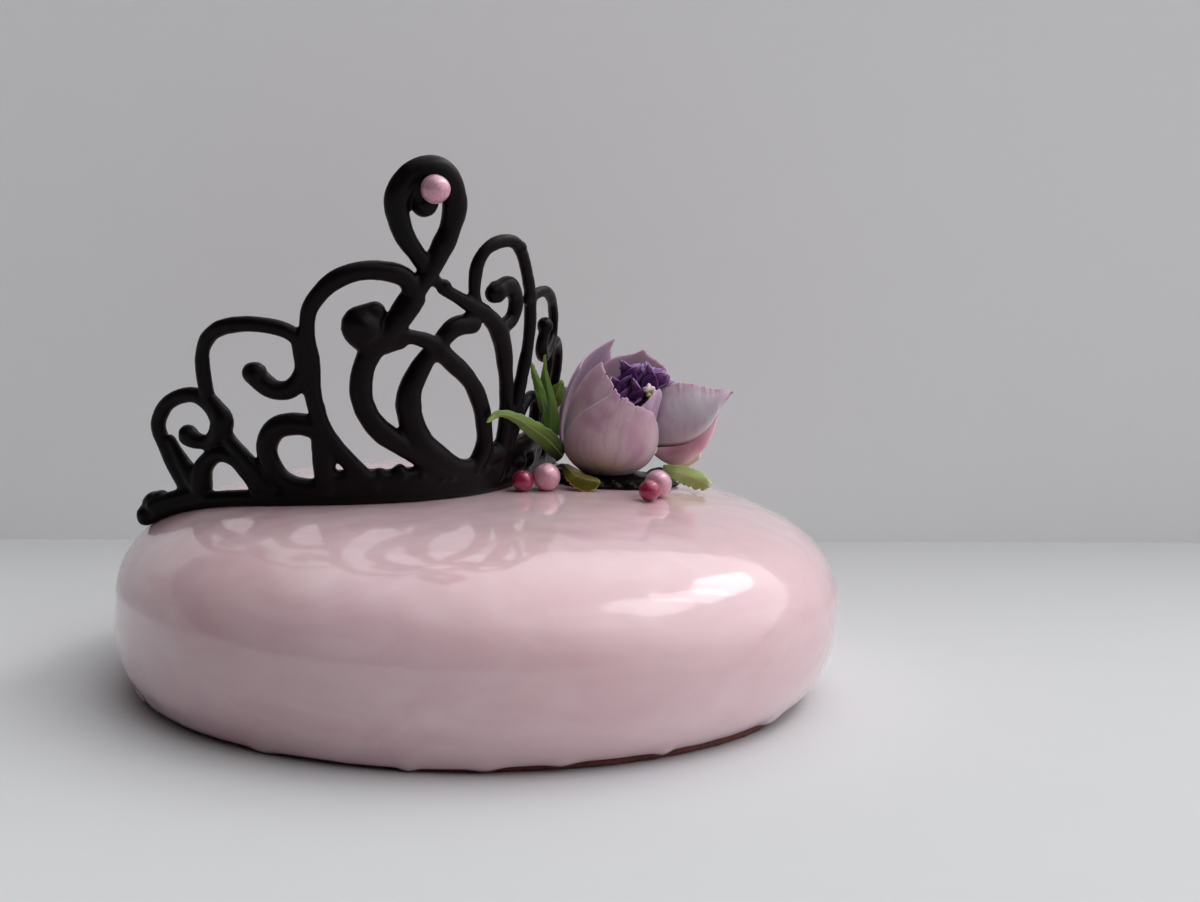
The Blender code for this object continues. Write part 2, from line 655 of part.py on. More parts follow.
def build_flower(petal, petal_deep, petal_pale, heart):
    """The petals and the dark ruffled heart of the flower."""
    cup_petal("petal_front", 1.2, FRONT_RIM, petal, base=0.0, cols=11)
    cup_petal("petal_left", 2.4, LEFT_RIM, petal, flare=0.75, base=8.0, cols=6, rows=6)
    cup_petal("petal_back_left", 0.9, BACK_LEFT_RIM, petal, flare=0.75, base=0.8)
    cup_petal("petal_back", -0.5, BACK_RIM, petal_pale, flare=0.55, base=1.6, cols=10)
    cup_petal("petal_inner", -0.6, INNER_RIM, petal_pale, flare=0.1, base=1.6, cols=7, rows=6)
    right_low = [(43.6, 24.4, 56.8), (50.2, 19.5, 58.2), (54, 18, 60.1), (57, 18, 63),
                 (59.3, 19, 67.3), (61.5, 20, 71)]
    right_high = [(44.8, 24.8, 72.8), (50, 24, 74), (54.6, 22.5, 73.8), (58, 21.3, 73.2),
                  (60.5, 20.5, 73.2), (62.9, 20, 72.6)]
    patch_petal("petal_right", right_low, right_high, (0.5, -5.0, -1.0), petal)
    under_low = [(43.3, 24.8, 54.8), (46.6, 22.8, 53), (50, 21.5, 52.7), (54, 21.5, 55),
                 (57.2, 22, 58.4), (59, 23, 62.7), (59.6, 24.5, 67)]
    under_high = [(44.5, 28, 58), (48, 28.5, 62), (51, 28.5, 66), (54, 28, 68.5),
                  (56.5, 27.5, 70), (58.5, 27, 70), (60.2, 26, 69.5)]
    patch_petal("petal_under", under_low, under_high, (0.5, -3.0, -1.2), petal_deep)
    pale_low = [(45, 32, 53.5), (48.5, 31.5, 51.4), (52, 31, 50.6), (55.5, 30.5, 53)]
    pale_high = [(45.5, 34, 56), (49, 34, 57), (53, 33.5, 57.2), (56, 32.5, 56)]
    patch_petal("petal_pale", pale_low, pale_high, (0.3, -1.2, -0.6), petal_pale, cols=6, rows=4)
    build_heart(heart)


def floret(centre, foot, size, waves, phase, material):
    """A small ruffled funnel that opens at the centre and narrows to its foot."""
    centre = Vector(centre)
    foot = Vector(foot)
    axis = (centre - foot).normalized()
    side = axis.orthogonal().normalized()
    other = axis.cross(side)
    segments = 10
    points = [foot, centre - axis * 0.9]
    for level in range(3):
        for i in range(segments):
            angle = 2 * math.pi * i / segments
            ruffle = math.sin(waves * angle + phase)
            if level == 0:
                reach, lift = size * 0.45, -size * 0.55
            elif level == 1:
                reach, lift = size * (1.0 + 0.16 * ruffle), 0.22 * size * ruffle
            else:
                reach, lift = size * 0.62, -0.1 * size + 0.1 * size * ruffle
            turn = side * math.cos(angle) + other * math.sin(angle)
            points.append(centre + turn * reach + axis * lift)
    faces = []
    for i in range(segments):
        j = (i + 1) % segments
        faces.append((0, 2 + j, 2 + i))
        for level in (0, 1):
            a = 2 + level * segments
            faces.append((a + i, a + j, a + segments + j, a + segments + i))
        last = 2 + 2 * segments
        faces.append((last + i, last + j, 1))
    return add_solid("floret", points, faces, material)


def build_heart(material):
    """The cluster of dark florets in the middle of the cup."""
    members = [bead("core", (35.4, 24.2, 64.0), (6.8, 6.2, 6.6), 0.0, material)]
    members.append(floret((38.0, 26.4, 77.0), (36.2, 25.0, 66.0), 3.7, 3, 0.4, material))
    members.append(floret((44.0, 25.9, 75.8), (37.5, 25.0, 65.0), 3.7, 4, 1.9, material))
    members.append(floret((40.2, 21.8, 73.4), (36.0, 23.5, 64.0), 3.3, 3, 3.0, material))
    members.append(floret((33.9, 25.2, 74.4), (34.8, 24.6, 64.0), 3.2, 4, 0.2, material))
    members.append(floret((36.2, 19.6, 70.4), (35.2, 22.5, 62.0), 3.2, 3, 2.2, material))
    return fuse("flower_heart", members, material)


def build_leaves(light, olive):
    """The green blades round the flower."""
    curl = [(20.0, 18.0, 54.7), (18.4, 14.6, 57.5), (15.7, 9.6, 60.9), (12.1, 3.6, 64.5),
            (8.7, -2.4, 67.7), (4.8, -7.2, 69.3), (1.8, -9.2, 67.5)]
    leaf("leaf_curled", curl, (3.0, 4.2, 4.3, 3.8, 2.6, 1.5, 1.7), (0.45, -0.2, 1.0), 0.25, light)
    tall = [(16.3, 18.0, 59.0), (16.8, 17.6, 63.3), (16.2, 16.6, 70.0), (15.1, 15.2, 76.2),
            (15.05, 12.6, 81.5)]
    leaf("leaf_upright", tall, (3.6, 3.8, 3.0, 1.9, 0.7), (1.0, 0.15, 0.0), 0.3, light)
    short = [(15.2, 11.4, 67.4), (14.0, 11.4, 72.3), (12.7, 11.4, 76.3), (11.5, 11.4, 80.1)]
    leaf("leaf_short", short, (1.8, 2.0, 1.8, 1.1), (1.0, 0.1, 0.1), 0.25, light, rows=6)
    side = [(16.6, 20.4, 66.2), (17.6, 20.0, 69.2), (18.4, 19.2, 71.8), (19.4, 18.0, 74.4)]
    leaf("leaf_side", side, (2.2, 3.6, 3.2, 1.0), (1.0, 0.2, -0.6), 0.2, light, rows=6)
    cupped = [(20.6, 8.6, 54.3), (22.8, 6.4, 52.9), (26.2, 4.9, 51.4), (29.8, 4.6, 51.0)]
    leaf("leaf_cupped", cupped, (1.4, 3.6, 4.4, 2.6), (0.1, -0.75, -0.65), 0.45, olive, rows=7)
    low = [(45.6, 19.8, 51.9), (49.6, 18.4, 51.5), (53.8, 16.2, 50.4), (57.6, 13.6, 48.9)]
    leaf("leaf_right", low, (2.4, 3.8, 3.8, 2.4), (0.3, -0.6, -0.75), 0.2, light, rows=7)


def build_seat(material):
    """The thin chocolate puddle that holds the flower."""
    segments = 20
    outline = []
    for i in range(segments):
        angle = 2 * math.pi * i / segments
        wave = 1.0 + 0.05 * math.sin(3 * angle + 0.5) + 0.03 * math.sin(5 * angle)
        outline.append((16.0 * wave * math.cos(angle), 12.5 * wave * math.sin(angle)))
    levels = ((0.0, 0.94), (0.45, 1.0), (0.9, 0.95), (1.15, 0.84))
    points = []
    for lift, shrink in levels:
        for x, y in outline:
            px, py = 33.5 + x * shrink, 20.5 + y * shrink
            points.append((px, py, dome_height(math.hypot(px, py)) + GAP + 0.15 + lift))
    centre = dome_height(math.hypot(33.5, 20.5)) + GAP + 0.15
    points.append((33.5, 20.5, centre))
    points.append((33.5, 20.5, centre + 1.2))
    faces = []
    last = (len(levels) - 1) * segments
    for i in range(segments):
        j = (i + 1) % segments
        faces.append((len(points) - 2, j, i))
        for level in range(len(levels) - 1):
            a = level * segments
            faces.append((a + i, a + j, a + segments + j, a + segments + i))
        faces.append((last + i, last + j, len(points) - 1))
    return add_solid("chocolate_seat", points, faces, material)


def pearl(name, centre, radius, material):
    """One sugar pearl."""
    return bead(name, centre, (radius, radius, radius), 0.0, material, rings=7, segments=10)


def build_pearls(light, deep):
    """One pearl on the tiara's loop, and a pair on each side of the flower."""
    top, normal = wall_point(-7.0, 79.6)
    pearl("pearl_top", top + normal * 5.9, LARGE_PEARL, light)
    places = (
        ("pearl_left_light", 16.2, 4.6, LARGE_PEARL, light),
        ("pearl_left_deep", 10.3, 2.6, SMALL_PEARL, deep),
        ("pearl_right_light", 44.2, 1.6, LARGE_PEARL, light),
        ("pearl_right_deep", 42.0, -4.4, SMALL_PEARL, deep),
    )
    for name, x, y, radius, material in places:
        height = dome_height(math.hypot(x, y)) + radius + GAP
        pearl(name, (x, y, height), radius, material)


def main():
    """Build every solid of the cake."""
    clear_scene()
    glaze = make_material("pink_mirror_glaze", (205, 170, 178), 0.06, coat=0.6)
    biscuit = make_material("baked_biscuit", (92, 48, 40), 0.8)
    chocolate = make_material("dark_chocolate", (30, 20, 20), 0.32)
    light_pearl = make_material("light_pink_pearl", (218, 155, 170), 0.25, coat=0.4)
    deep_pearl = make_material("deep_pink_pearl", (182, 72, 112), 0.28, coat=0.4)
    petal = make_material("mauve_petal", (178, 140, 160), 0.6)
    petal_deep = make_material("rose_petal", (180, 118, 142), 0.6)
    petal_pale = make_material("pale_petal", (200, 175, 182), 0.6)
    heart = make_material("purple_floret", (78, 45, 90), 0.6)
    light_green = make_material("light_green_leaf", (112, 140, 72), 0.5)
    olive = make_material("olive_leaf", (110, 110, 45), 0.5)
    build_cake(glaze)
    build_biscuit(biscuit)
    build_tiara(chocolate)
    build_seat(chocolate)
    build_pearls(light_pearl, deep_pearl)
    build_flower(petal, petal_deep, petal_pale, heart)
    build_leaves(light_green, olive)


main()
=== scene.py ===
"""Looks of a round mirror-glazed mousse cake with a piped chocolate tiara, sugar pearls and one open flower.

Sizes are in millimetres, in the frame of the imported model, and turn into metres when a mesh is made.
The sizes of a material are different: its noise scales are swells to the metre, its relief is in metres.
The front of the cake faces -Y, and the origin is the middle of its underside.
"""

import logging
import math
from collections.abc import Sequence
from dataclasses import dataclass, field
from enum import Enum
from typing import Protocol

import bmesh
import bpy
import numpy as np
from mathutils import Matrix, Vector, noise


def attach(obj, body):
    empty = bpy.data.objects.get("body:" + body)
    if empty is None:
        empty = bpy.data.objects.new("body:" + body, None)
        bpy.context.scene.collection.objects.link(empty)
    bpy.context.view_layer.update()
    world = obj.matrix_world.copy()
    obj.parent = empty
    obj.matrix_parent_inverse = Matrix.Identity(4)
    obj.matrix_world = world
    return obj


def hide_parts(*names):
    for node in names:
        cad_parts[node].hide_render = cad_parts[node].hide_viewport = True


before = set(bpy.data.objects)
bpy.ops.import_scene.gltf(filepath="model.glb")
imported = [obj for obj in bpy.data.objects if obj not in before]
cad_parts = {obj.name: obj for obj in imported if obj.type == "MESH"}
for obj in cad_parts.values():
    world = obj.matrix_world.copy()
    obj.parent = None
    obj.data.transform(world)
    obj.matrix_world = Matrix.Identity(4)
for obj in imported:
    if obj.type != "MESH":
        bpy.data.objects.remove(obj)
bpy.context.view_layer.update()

MM = 0.001
TURN = 2 * math.pi
BODY = "root"
CURVE_STEPS = 600
TIP_TAPER = 14.0
SIDE_TAPER = 22.0

log = logging.getLogger("cake")

Knots = Sequence[Sequence[float]]
Triples = Sequence[tuple[float, float, float]]
Ring = list[tuple[float, float, float]]
Socket = bpy.types.NodeSocket
Shading = bpy.types.Material


class Mark(Enum):
    """Names of the values that a mesh carries for its material."""

    ACROSS = "across"
    ALONG = "along"


class Slot(Enum):
    """The record's material slots."""

    GLAZE = "glaze"
    BISCUIT = "biscuit"
    CHOCOLATE = "chocolate"
    PEARL_LIGHT = "pearl_light"
    PEARL_DEEP = "pearl_deep"
    PETAL = "petal"
    PETAL_ROSE = "petal_rose"
    PETAL_PALE = "petal_pale"
    FLORET = "floret"
    LEAF_GREEN = "leaf_green"
    LEAF_OLIVE = "leaf_olive"


class Sum(Enum):
    """Sums that a material's nodes work out."""

    ADD = "ADD"
    SUBTRACT = "SUBTRACT"
    MULTIPLY = "MULTIPLY"
    ABSOLUTE = "ABSOLUTE"


@dataclass(frozen=True)
class Shade:
    """A display colour with channels from 0 to 255."""

    red: float
    green: float
    blue: float

    def linear(self) -> tuple[float, float, float, float]:
        """The colour as linear values with an alpha of one.

        Returns:
            Red, green, blue and alpha.
        """
        shares = [channel / 255.0 for channel in (self.red, self.green, self.blue)]
        low, mid, high = [s / 12.92 if s <= 0.04045 else ((s + 0.055) / 1.055) ** 2.4 for s in shares]
        return (low, mid, high, 1.0)


class Curve:
    """A smooth curve through knots of any number of values each."""

    def __init__(self, knots: Knots) -> None:
        """Keep the knots.

        Args:
            knots: The values that the curve passes through, in order.
        """
        self.knots = [tuple(knot) for knot in knots]

    def at(self, share: float) -> list[float]:
        """Value of the curve at a share of its way.

        Args:
            share: Place on the curve, 0 at its first knot and 1 at its last.

        Returns:
            One number for each value of a knot.
        """
        spans = len(self.knots) - 1
        place = min(max(share, 0.0), 1.0) * spans
        first = min(int(place), spans - 1)
        t = place - first
        before = self.knots[max(first - 1, 0)]
        after = self.knots[min(first + 2, spans)]
        values = []
        for a, b, c, d in zip(before, self.knots[first], self.knots[first + 1], after):
            bend = (2 * a - 5 * b + 4 * c - d) * t * t + (3 * b - 3 * c + d - a) * t * t * t
            values.append((2 * b + (c - a) * t + bend) / 2)
        return values

    def run(self, step: float) -> list[list[float]]:
        """Points at even lengths along the curve.

        Args:
            step: Wanted length between two points.

        Returns:
            The points, from the first knot to the last.
        """
        fine = np.array([self.at(i / CURVE_STEPS) for i in range(CURVE_STEPS + 1)])
        lengths = np.concatenate([[0.0], np.cumsum(np.linalg.norm(np.diff(fine, axis=0), axis=1))])
        wanted = np.linspace(0.0, lengths[-1], max(3, round(lengths[-1] / step)) + 1)
        return np.stack([np.interp(wanted, lengths, column) for column in fine.T], -1).tolist()


def waver(x: float, y: float, z: float, size: float, seed: float = 0.0) -> float:
    """Smooth noise between about -1 and 1 at a place.

    Args:
        x: Place along X, in millimetres.
        y: Place along Y.
        z: Place along Z.
        size: Width of one swell, in millimetres.
        seed: Shift that gives another pattern.

    Returns:
        The noise value there.
    """
    return noise.noise(Vector((x / size + seed, y / size - seed, z / size + 2.0 * seed)))


def swing(angle: float, waves: Triples, level: float = 0.0) -> float:
    """Add waves that run round a circle.

    Args:
        angle: Angle round the circle.
        waves: Height, number and start of each wave.
        level: The level that they start from.

    Returns:
        The level with the waves.
    """
    return sum((height * math.sin(count * angle + start) for height, count, start in waves), level)


def around(count: int) -> list[float]:
    """Angles of even steps round a circle."""
    return [TURN * i / count for i in range(count)]


def show(name: str, data: bpy.types.ID) -> bpy.types.Object:
    """Put something new into the scene.

    Args:
        name: Its name.
        data: Its mesh, light or camera.

    Returns:
        The new object.
    """
    thing = bpy.data.objects.new(name, data)
    bpy.context.scene.collection.objects.link(thing)
    return thing


class Clay:
    """Points and faces of one piece, in millimetres, gathered before its mesh is made."""

    def __init__(self) -> None:
        """Start with nothing in it."""
        self.points: list[tuple[float, float, float]] = []
        self.faces: list[tuple[int, ...]] = []
        self.marks: dict[Mark, list[float]] = {Mark.ACROSS: [], Mark.ALONG: []}

    def add(self, points: Sequence[Sequence[float]], faces: Sequence[Sequence[int]],
            across: Sequence[float], along: Sequence[float]) -> None:
        """Add a body.

        Args:
            points: Its corners.
            faces: Its faces, counted from its own first corner.
            across: A value across the body for each corner.
            along: A value along the body for each corner.
        """
        first = len(self.points)
        self.points.extend(tuple(point) for point in points)
        self.faces.extend(tuple(first + i for i in face) for face in faces)
        self.marks[Mark.ACROSS].extend(across)
        self.marks[Mark.ALONG].extend(along)

    def skin(self, rings: np.ndarray) -> None:
        """Add a body through rings of points, closed by a flat face at both ends.

        Args:
            rings: Array of rings by points by 3.
        """
        count, sides, _ = rings.shape
        faces: list[tuple[int, ...]] = []
        for ring in range(count - 1):
            low = ring * sides
            for k in range(sides):
                n = (k + 1) % sides
                faces.append((low + k, low + n, low + sides + n, low + sides + k))
        faces.append(tuple(reversed(range(sides))))
        faces.append(tuple(range((count - 1) * sides, count * sides)))
        along = np.repeat(np.linspace(0.0, 1.0, count), sides).tolist()
        across = np.tile(np.linspace(0.0, 1.0, sides, endpoint=False), count).tolist()
        self.add(rings.reshape(-1, 3).tolist(), faces, across, along)

    def rope(self, centres: Sequence[Vector], normals: Sequence[Vector], radii: Sequence[float],
             sides: int = 14, depth: float = 0.92) -> None:
        """Add a piped line with round ends.

        Args:
            centres: Its middle line.
            normals: The way that its flatter side faces, at each centre.
            radii: Its radius at each centre.
            sides: Number of sides.
            depth: Share of the radius that it keeps along the normals.
        """
        last = len(centres) - 1
        tangents = []
        for i in range(last + 1):
            tangents.append((centres[min(i + 1, last)] - centres[max(i - 1, 0)]).normalized())
        turns = [math.radians(degrees) for degrees in (80.0, 60.0, 40.0, 20.0)]
        stations = [(centres[0] - tangents[0] * radii[0] * math.sin(a), 0, radii[0] * math.cos(a)) for a in turns]
        stations += [(centres[i], i, radii[i]) for i in range(last + 1)]
        stations += [(centres[last] + tangents[last] * radii[last] * math.sin(a), last, radii[last] * math.cos(a))
                     for a in reversed(turns)]
        rings = []
        for centre, i, radius in stations:
            side = tangents[i].cross(normals[i]).normalized()
            normal = side.cross(tangents[i]).normalized()
            ring = []
            for k in range(sides):
                angle = TURN * (k + 0.5) / sides
                ring.append(centre + (normal * math.cos(angle) * depth + side * math.sin(angle)) * radius)
            rings.append(ring)
        self.skin(np.array(rings))

    def ball(self, centre: Sequence[float], radii: Sequence[float], turn: float = 0.0,
             rings: int = 20, sides: int = 32, lumps: float = 0.0) -> None:
        """Add a round lump.

        Args:
            centre: Its middle.
            radii: Its three half sizes.
            turn: Turn of its first half size about Z, in radians.
            rings: Number of rings from pole to pole.
            sides: Number of sides.
            lumps: Height of its unevenness.
        """
        lifts = (np.arange(rings) + 0.5) / rings * math.pi
        angles = np.arange(sides) / sides * TURN
        grid = np.zeros((rings, sides, 3))
        for r, lift in enumerate(lifts):
            for k, angle in enumerate(angles):
                way = Vector((math.sin(lift) * math.cos(angle), math.sin(lift) * math.sin(angle), -math.cos(lift)))
                swell = 1.0 + lumps * waver(*(way * 10.0), 7.0, centre[0] * 0.13)
                x, y = way.x * radii[0] * swell, way.y * radii[1] * swell
                grid[r, k, 0] = centre[0] + x * math.cos(turn) - y * math.sin(turn)
                grid[r, k, 1] = centre[1] + x * math.sin(turn) + y * math.cos(turn)
                grid[r, k, 2] = centre[2] + way.z * radii[2] * swell
        self.skin(grid)

    def sheet(self, grid: np.ndarray, thickness: float, rim: float = 0.25) -> None:
        """Add a thin sheet with thin edges, which stands on one side of a grid.

        Args:
            grid: Its one face, as an array of rows by columns by 3, from base to free edge.
            thickness: Thickness in its middle.
            rim: Share of the thickness that is left at a free edge.
        """
        rows, cols, _ = grid.shape
        normals = np.cross(np.gradient(grid, axis=0), np.gradient(grid, axis=1))
        normals /= np.maximum(np.linalg.norm(normals, axis=2, keepdims=True), 1e-9)
        t = np.linspace(0.0, 1.0, rows)[:, None]
        s = np.linspace(0.0, 1.0, cols)[None, :]
        to_edge = np.minimum((1.0 - t) * TIP_TAPER, np.minimum(s, 1.0 - s) * SIDE_TAPER)
        half = thickness / 2 * (rim + (1.0 - rim) * np.sqrt(np.clip(to_edge, 0.0, 1.0)))
        middle = grid + normals * thickness / 2
        outer = middle + normals * half[:, :, None]
        inner = middle - normals * half[:, :, None]
        size = rows * cols
        last = size - cols
        faces = []
        for r in range(rows - 1):
            for c in range(cols - 1):
                a, b = r * cols + c, r * cols + c + 1
                faces.append((a, a + cols, b + cols, b))
                faces.append((size + a, size + b, size + b + cols, size + a + cols))
        edges = [(c, c + 1) for c in range(cols - 1)]
        edges += [(last + c + 1, last + c) for c in range(cols - 1)]
        edges += [((r + 1) * cols, r * cols) for r in range(rows - 1)]
        edges += [(r * cols + cols - 1, (r + 1) * cols + cols - 1) for r in range(rows - 1)]
        faces += [(a, b, size + b, size + a) for a, b in edges]
        points = np.concatenate([outer.reshape(-1, 3), inner.reshape(-1, 3)])
        across = np.broadcast_to(s, (rows, cols)).ravel().tolist() * 2
        along = np.broadcast_to(t, (rows, cols)).ravel().tolist() * 2
        self.add(points.tolist(), faces, across, along)

    def mesh(self, name: str, scale: float = MM) -> bpy.types.Mesh:
        """Make a mesh with outward faces.

        Args:
            name: The mesh's name.
            scale: Size of one millimetre in the mesh.

        Returns:
            The mesh, with the marks as vertex values.
        """
        made = bpy.data.meshes.new(name)
        made.from_pydata((np.array(self.points) * scale).tolist(), [], self.faces)
        for mark, values in self.marks.items():
            layer = made.attributes.new(mark.value, "FLOAT", "POINT")
            layer.data.foreach_set("value", values)
        shaped = bmesh.new()
        shaped.from_mesh(made)
        bmesh.ops.recalc_face_normals(shaped, faces=shaped.faces[:])
        shaped.to_mesh(made)
        shaped.free()
        made.polygons.foreach_set("use_smooth", [True] * len(made.polygons))
        return made

    def melted(self, name: str, cell: float, rounds: int) -> bpy.types.Mesh:
        """Make one soft skin round everything in the clay.

        Args:
            name: The mesh's name.
            cell: Width of the skin's faces, in millimetres.
            rounds: Rounds of smoothing.

        Returns:
            The mesh in metres.
        """
        rough = show(name + "_rough", self.mesh(name + "_rough", 1.0))
        remesh = rough.modifiers.new("skin", "REMESH")
        remesh.mode = "VOXEL"
        remesh.voxel_size = cell
        remesh.use_smooth_shade = True
        soften = rough.modifiers.new("soften", "SMOOTH")
        soften.factor = 0.5
        soften.iterations = rounds
        bpy.context.view_layer.update()
        graph = bpy.context.evaluated_depsgraph_get()
        made = bpy.data.meshes.new_from_object(rough.evaluated_get(graph))
        made.transform(Matrix.Scale(MM, 4))
        made.name = name
        bpy.data.objects.remove(rough, do_unlink=True)
        made.polygons.foreach_set("use_smooth", [True] * len(made.polygons))
        return made


def place(name: str, mesh: bpy.types.Mesh, finish: Shading, slot: Slot, nodes: Sequence[str]) -> None:
    """Put a dressed piece on the cake.

    Args:
        name: The piece's name.
        mesh: Its mesh, in metres and in place.
        finish: Its material.
        slot: The record's material slot for the piece; not used.
        nodes: The nodes that it stands for.
    """
    mesh.materials.clear()
    mesh.materials.append(finish)
    piece = show(name, mesh)
    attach(piece, BODY)
    if nodes:
        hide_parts(*nodes)
    log.info("%s: %d faces", name, len(mesh.polygons))


# Finishes


class NodeBench:
    """One material's shader nodes, with short ways to add them."""

    def __init__(self, name: str) -> None:
        """Start a material with one Principled shader.

        Args:
            name: The material's name.
        """
        self.material = bpy.data.materials.new(name)
        self.material.use_nodes = True
        self.tree = self.material.node_tree
        self.shader = self.tree.nodes["Principled BSDF"]

    def feed(self, socket: Socket, value: object) -> None:
        """Give a socket a link or a plain value.

        Args:
            socket: The input socket.
            value: An output socket, or a value that the input takes.
        """
        if isinstance(value, bpy.types.NodeSocket):
            self.tree.links.new(value, socket)
        else:
            socket.default_value = value

    def add(self, kind: str, inputs: dict[str, object], **settings: object) -> bpy.types.Node:
        """Add a node.

        Args:
            kind: The node's type.
            inputs: Values or links for its inputs, by name.
            **settings: Values for the node's own properties.

        Returns:
            The node.
        """
        node = self.tree.nodes.new(kind)
        for key, value in settings.items():
            setattr(node, key, value)
        for key, value in inputs.items():
            self.feed(node.inputs[key], value)
        return node

    def shade(self, **values: object) -> None:
        """Set the shader's inputs.

        Args:
            **values: Values or links by input name, with underscores for spaces.
        """
        for key, value in values.items():
            self.feed(self.shader.inputs[key.replace("_", " ")], value)

    def place(self) -> Socket:
        """The place on the piece, in metres."""
        return self.add("ShaderNodeTexCoord", {}).outputs["Object"]

    def mark(self, mark: Mark) -> Socket:
        """A value that the mesh carries."""
        return self.add("ShaderNodeAttribute", {}, attribute_name=mark.value).outputs["Fac"]

    def sum(self, operation: Sum, first: object, second: object = 0.0) -> Socket:
        """Work out one number from two.

        Args:
            operation: Which sum it is.
            first: Its first value.
            second: Its second value.

        Returns:
            The result.
        """
        node = self.tree.nodes.new("ShaderNodeMath")
        node.operation = operation.value
        self.feed(node.inputs[0], first)
        self.feed(node.inputs[1], second)
        return node.outputs[0]

    def spread(self, x: object, y: object) -> Socket:
        """Join two numbers into a place for a pattern.

        Args:
            x: First number.
            y: Second number.

        Returns:
            The place.
        """
        return self.add("ShaderNodeCombineXYZ", {"X": x, "Y": y}).outputs[0]

    def stretch(self, vector: Socket, scale: Sequence[float]) -> Socket:
        """Scale a place by three factors.

        Args:
            vector: The place.
            scale: The factors.

        Returns:
            The scaled place.
        """
        node = self.tree.nodes.new("ShaderNodeVectorMath")
        node.operation = "MULTIPLY"
        self.feed(node.inputs[0], vector)
        node.inputs[1].default_value = tuple(scale)
        return node.outputs[0]

    def noise(self, vector: Socket, scale: float, detail: float = 3.0, rough: float = 0.5,
              twist: float = 0.0) -> Socket:
        """Noise between 0 and 1.

        Args:
            vector: Where to read it.
            scale: Swells for each unit of the place.
            detail: How many finer rounds it holds.
            rough: Weight of the finer rounds.
            twist: How far it is twisted.

        Returns:
            The noise value.
        """
        inputs = {"Vector": vector, "Scale": scale, "Detail": detail, "Roughness": rough, "Distortion": twist}
        return self.add("ShaderNodeTexNoise", inputs).outputs["Fac"]

    def ramp(self, share: Socket, stops: Sequence[tuple[float, Shade]]) -> Socket:
        """Colours along a share.

        Args:
            share: The share.
            stops: Places and colours, in order.

        Returns:
            The colour.
        """
        node = self.add("ShaderNodeValToRGB", {"Fac": share})
        band = node.color_ramp
        while len(band.elements) < len(stops):
            band.elements.new(1.0)
        for element, (where, shade) in zip(band.elements, stops):
            element.position = where
            element.color = shade.linear()
        return node.outputs["Color"]

    def range(self, value: Socket, low: float, high: float, to_low: float, to_high: float) -> Socket:
        """Map a range onto another, held at its ends.

        Args:
            value: The value to map.
            low: Where the range starts.
            high: Where it ends.
            to_low: Result at its start.
            to_high: Result at its end.

        Returns:
            The mapped value.
        """
        inputs = {"Value": value, "From Min": low, "From Max": high, "To Min": to_low, "To Max": to_high}
        return self.add("ShaderNodeMapRange", inputs).outputs["Result"]

    def mix(self, share: object, first: object, second: object) -> Socket:
        """Mix two colours.

        Args:
            share: Share of the second colour.
            first: A colour link or a Shade.
            second: A colour link or a Shade.

        Returns:
            The mixed colour.
        """
        node = self.tree.nodes.new("ShaderNodeMix")
        node.data_type = "RGBA"
        sockets = {socket.identifier: socket for socket in node.inputs}
        for key, value in (("Factor_Float", share), ("A_Color", first), ("B_Color", second)):
            self.feed(sockets[key], value.linear() if isinstance(value, Shade) else value)
        return next(socket for socket in node.outputs if socket.identifier == "Result_Color")

    def bump(self, height: Socket, distance: float, strength: float = 1.0) -> Socket:
        """Surface relief from a height.

        Args:
            height: The height, 0 to 1.
            distance: Height of the relief, in metres.
            strength: How much of it shows.

        Returns:
            The normal for the shader.
        """
        inputs = {"Height": height, "Distance": distance, "Strength": strength}
        return self.add("ShaderNodeBump", inputs).outputs["Normal"]


@dataclass(frozen=True)
class MirrorGlaze:
    """Poured pink glaze: opaque, wet and nearly level, with faint swirls of paler pink."""

    name: str = "pink_mirror_glaze"
    tint: Shade = Shade(225, 190, 198)
    pale: Shade = Shade(235, 209, 214)
    warm: Shade = Shade(218, 178, 184)
    swirls: float = 30.0
    clouds: float = 14.0
    films: float = 90.0
    ripples: float = 260.0
    ripple_height: float = 0.00001

    def make(self) -> Shading:
        """Make the material.

        Returns:
            The material.
        """
        bench = NodeBench(self.name)
        place = bench.place()
        swirl = bench.noise(bench.stretch(place, (1.0, 1.0, 2.4)), self.swirls, 4.0, 0.55, 1.4)
        cloud = bench.noise(place, self.clouds, 2.0)
        colour = bench.ramp(swirl, ((0.3, self.tint), (0.72, self.pale)))
        colour = bench.mix(bench.range(cloud, 0.42, 0.7, 0.0, 0.65), colour, self.warm)
        film = bench.range(bench.noise(place, self.films, 3.0), 0.3, 0.7, 0.16, 0.26)
        bench.shade(Base_Color=colour, Roughness=film, IOR=1.45, Specular_IOR_Level=0.2)
        bench.shade(Subsurface_Weight=0.25, Subsurface_Radius=(1.0, 0.45, 0.4), Subsurface_Scale=0.004)
        bench.shade(Coat_Weight=1.0, Coat_Roughness=0.08, Coat_IOR=1.45)
        bench.shade(Normal=bench.bump(bench.noise(place, self.ripples, 2.0), self.ripple_height, 0.5))
        return bench.material


@dataclass(frozen=True)
class BakedBiscuit:
    """Dark red-brown biscuit sheet, damp from the glaze."""

    name: str = "baked_biscuit"
    dark: Shade = Shade(70, 32, 28)
    light: Shade = Shade(128, 70, 58)
    crumbs: float = 900.0
    crumb_height: float = 0.0006

    def make(self) -> Shading:
        """Make the material.

        Returns:
            The material.
        """
        bench = NodeBench(self.name)
        place = bench.place()
        crumb = bench.noise(place, self.crumbs, 5.0, 0.65)
        bench.shade(Base_Color=bench.ramp(crumb, ((0.35, self.dark), (0.7, self.light))))
        bench.shade(Roughness=bench.range(crumb, 0.3, 0.7, 0.5, 0.85))
        bench.shade(Normal=bench.bump(crumb, self.crumb_height, 0.8))
        return bench.material


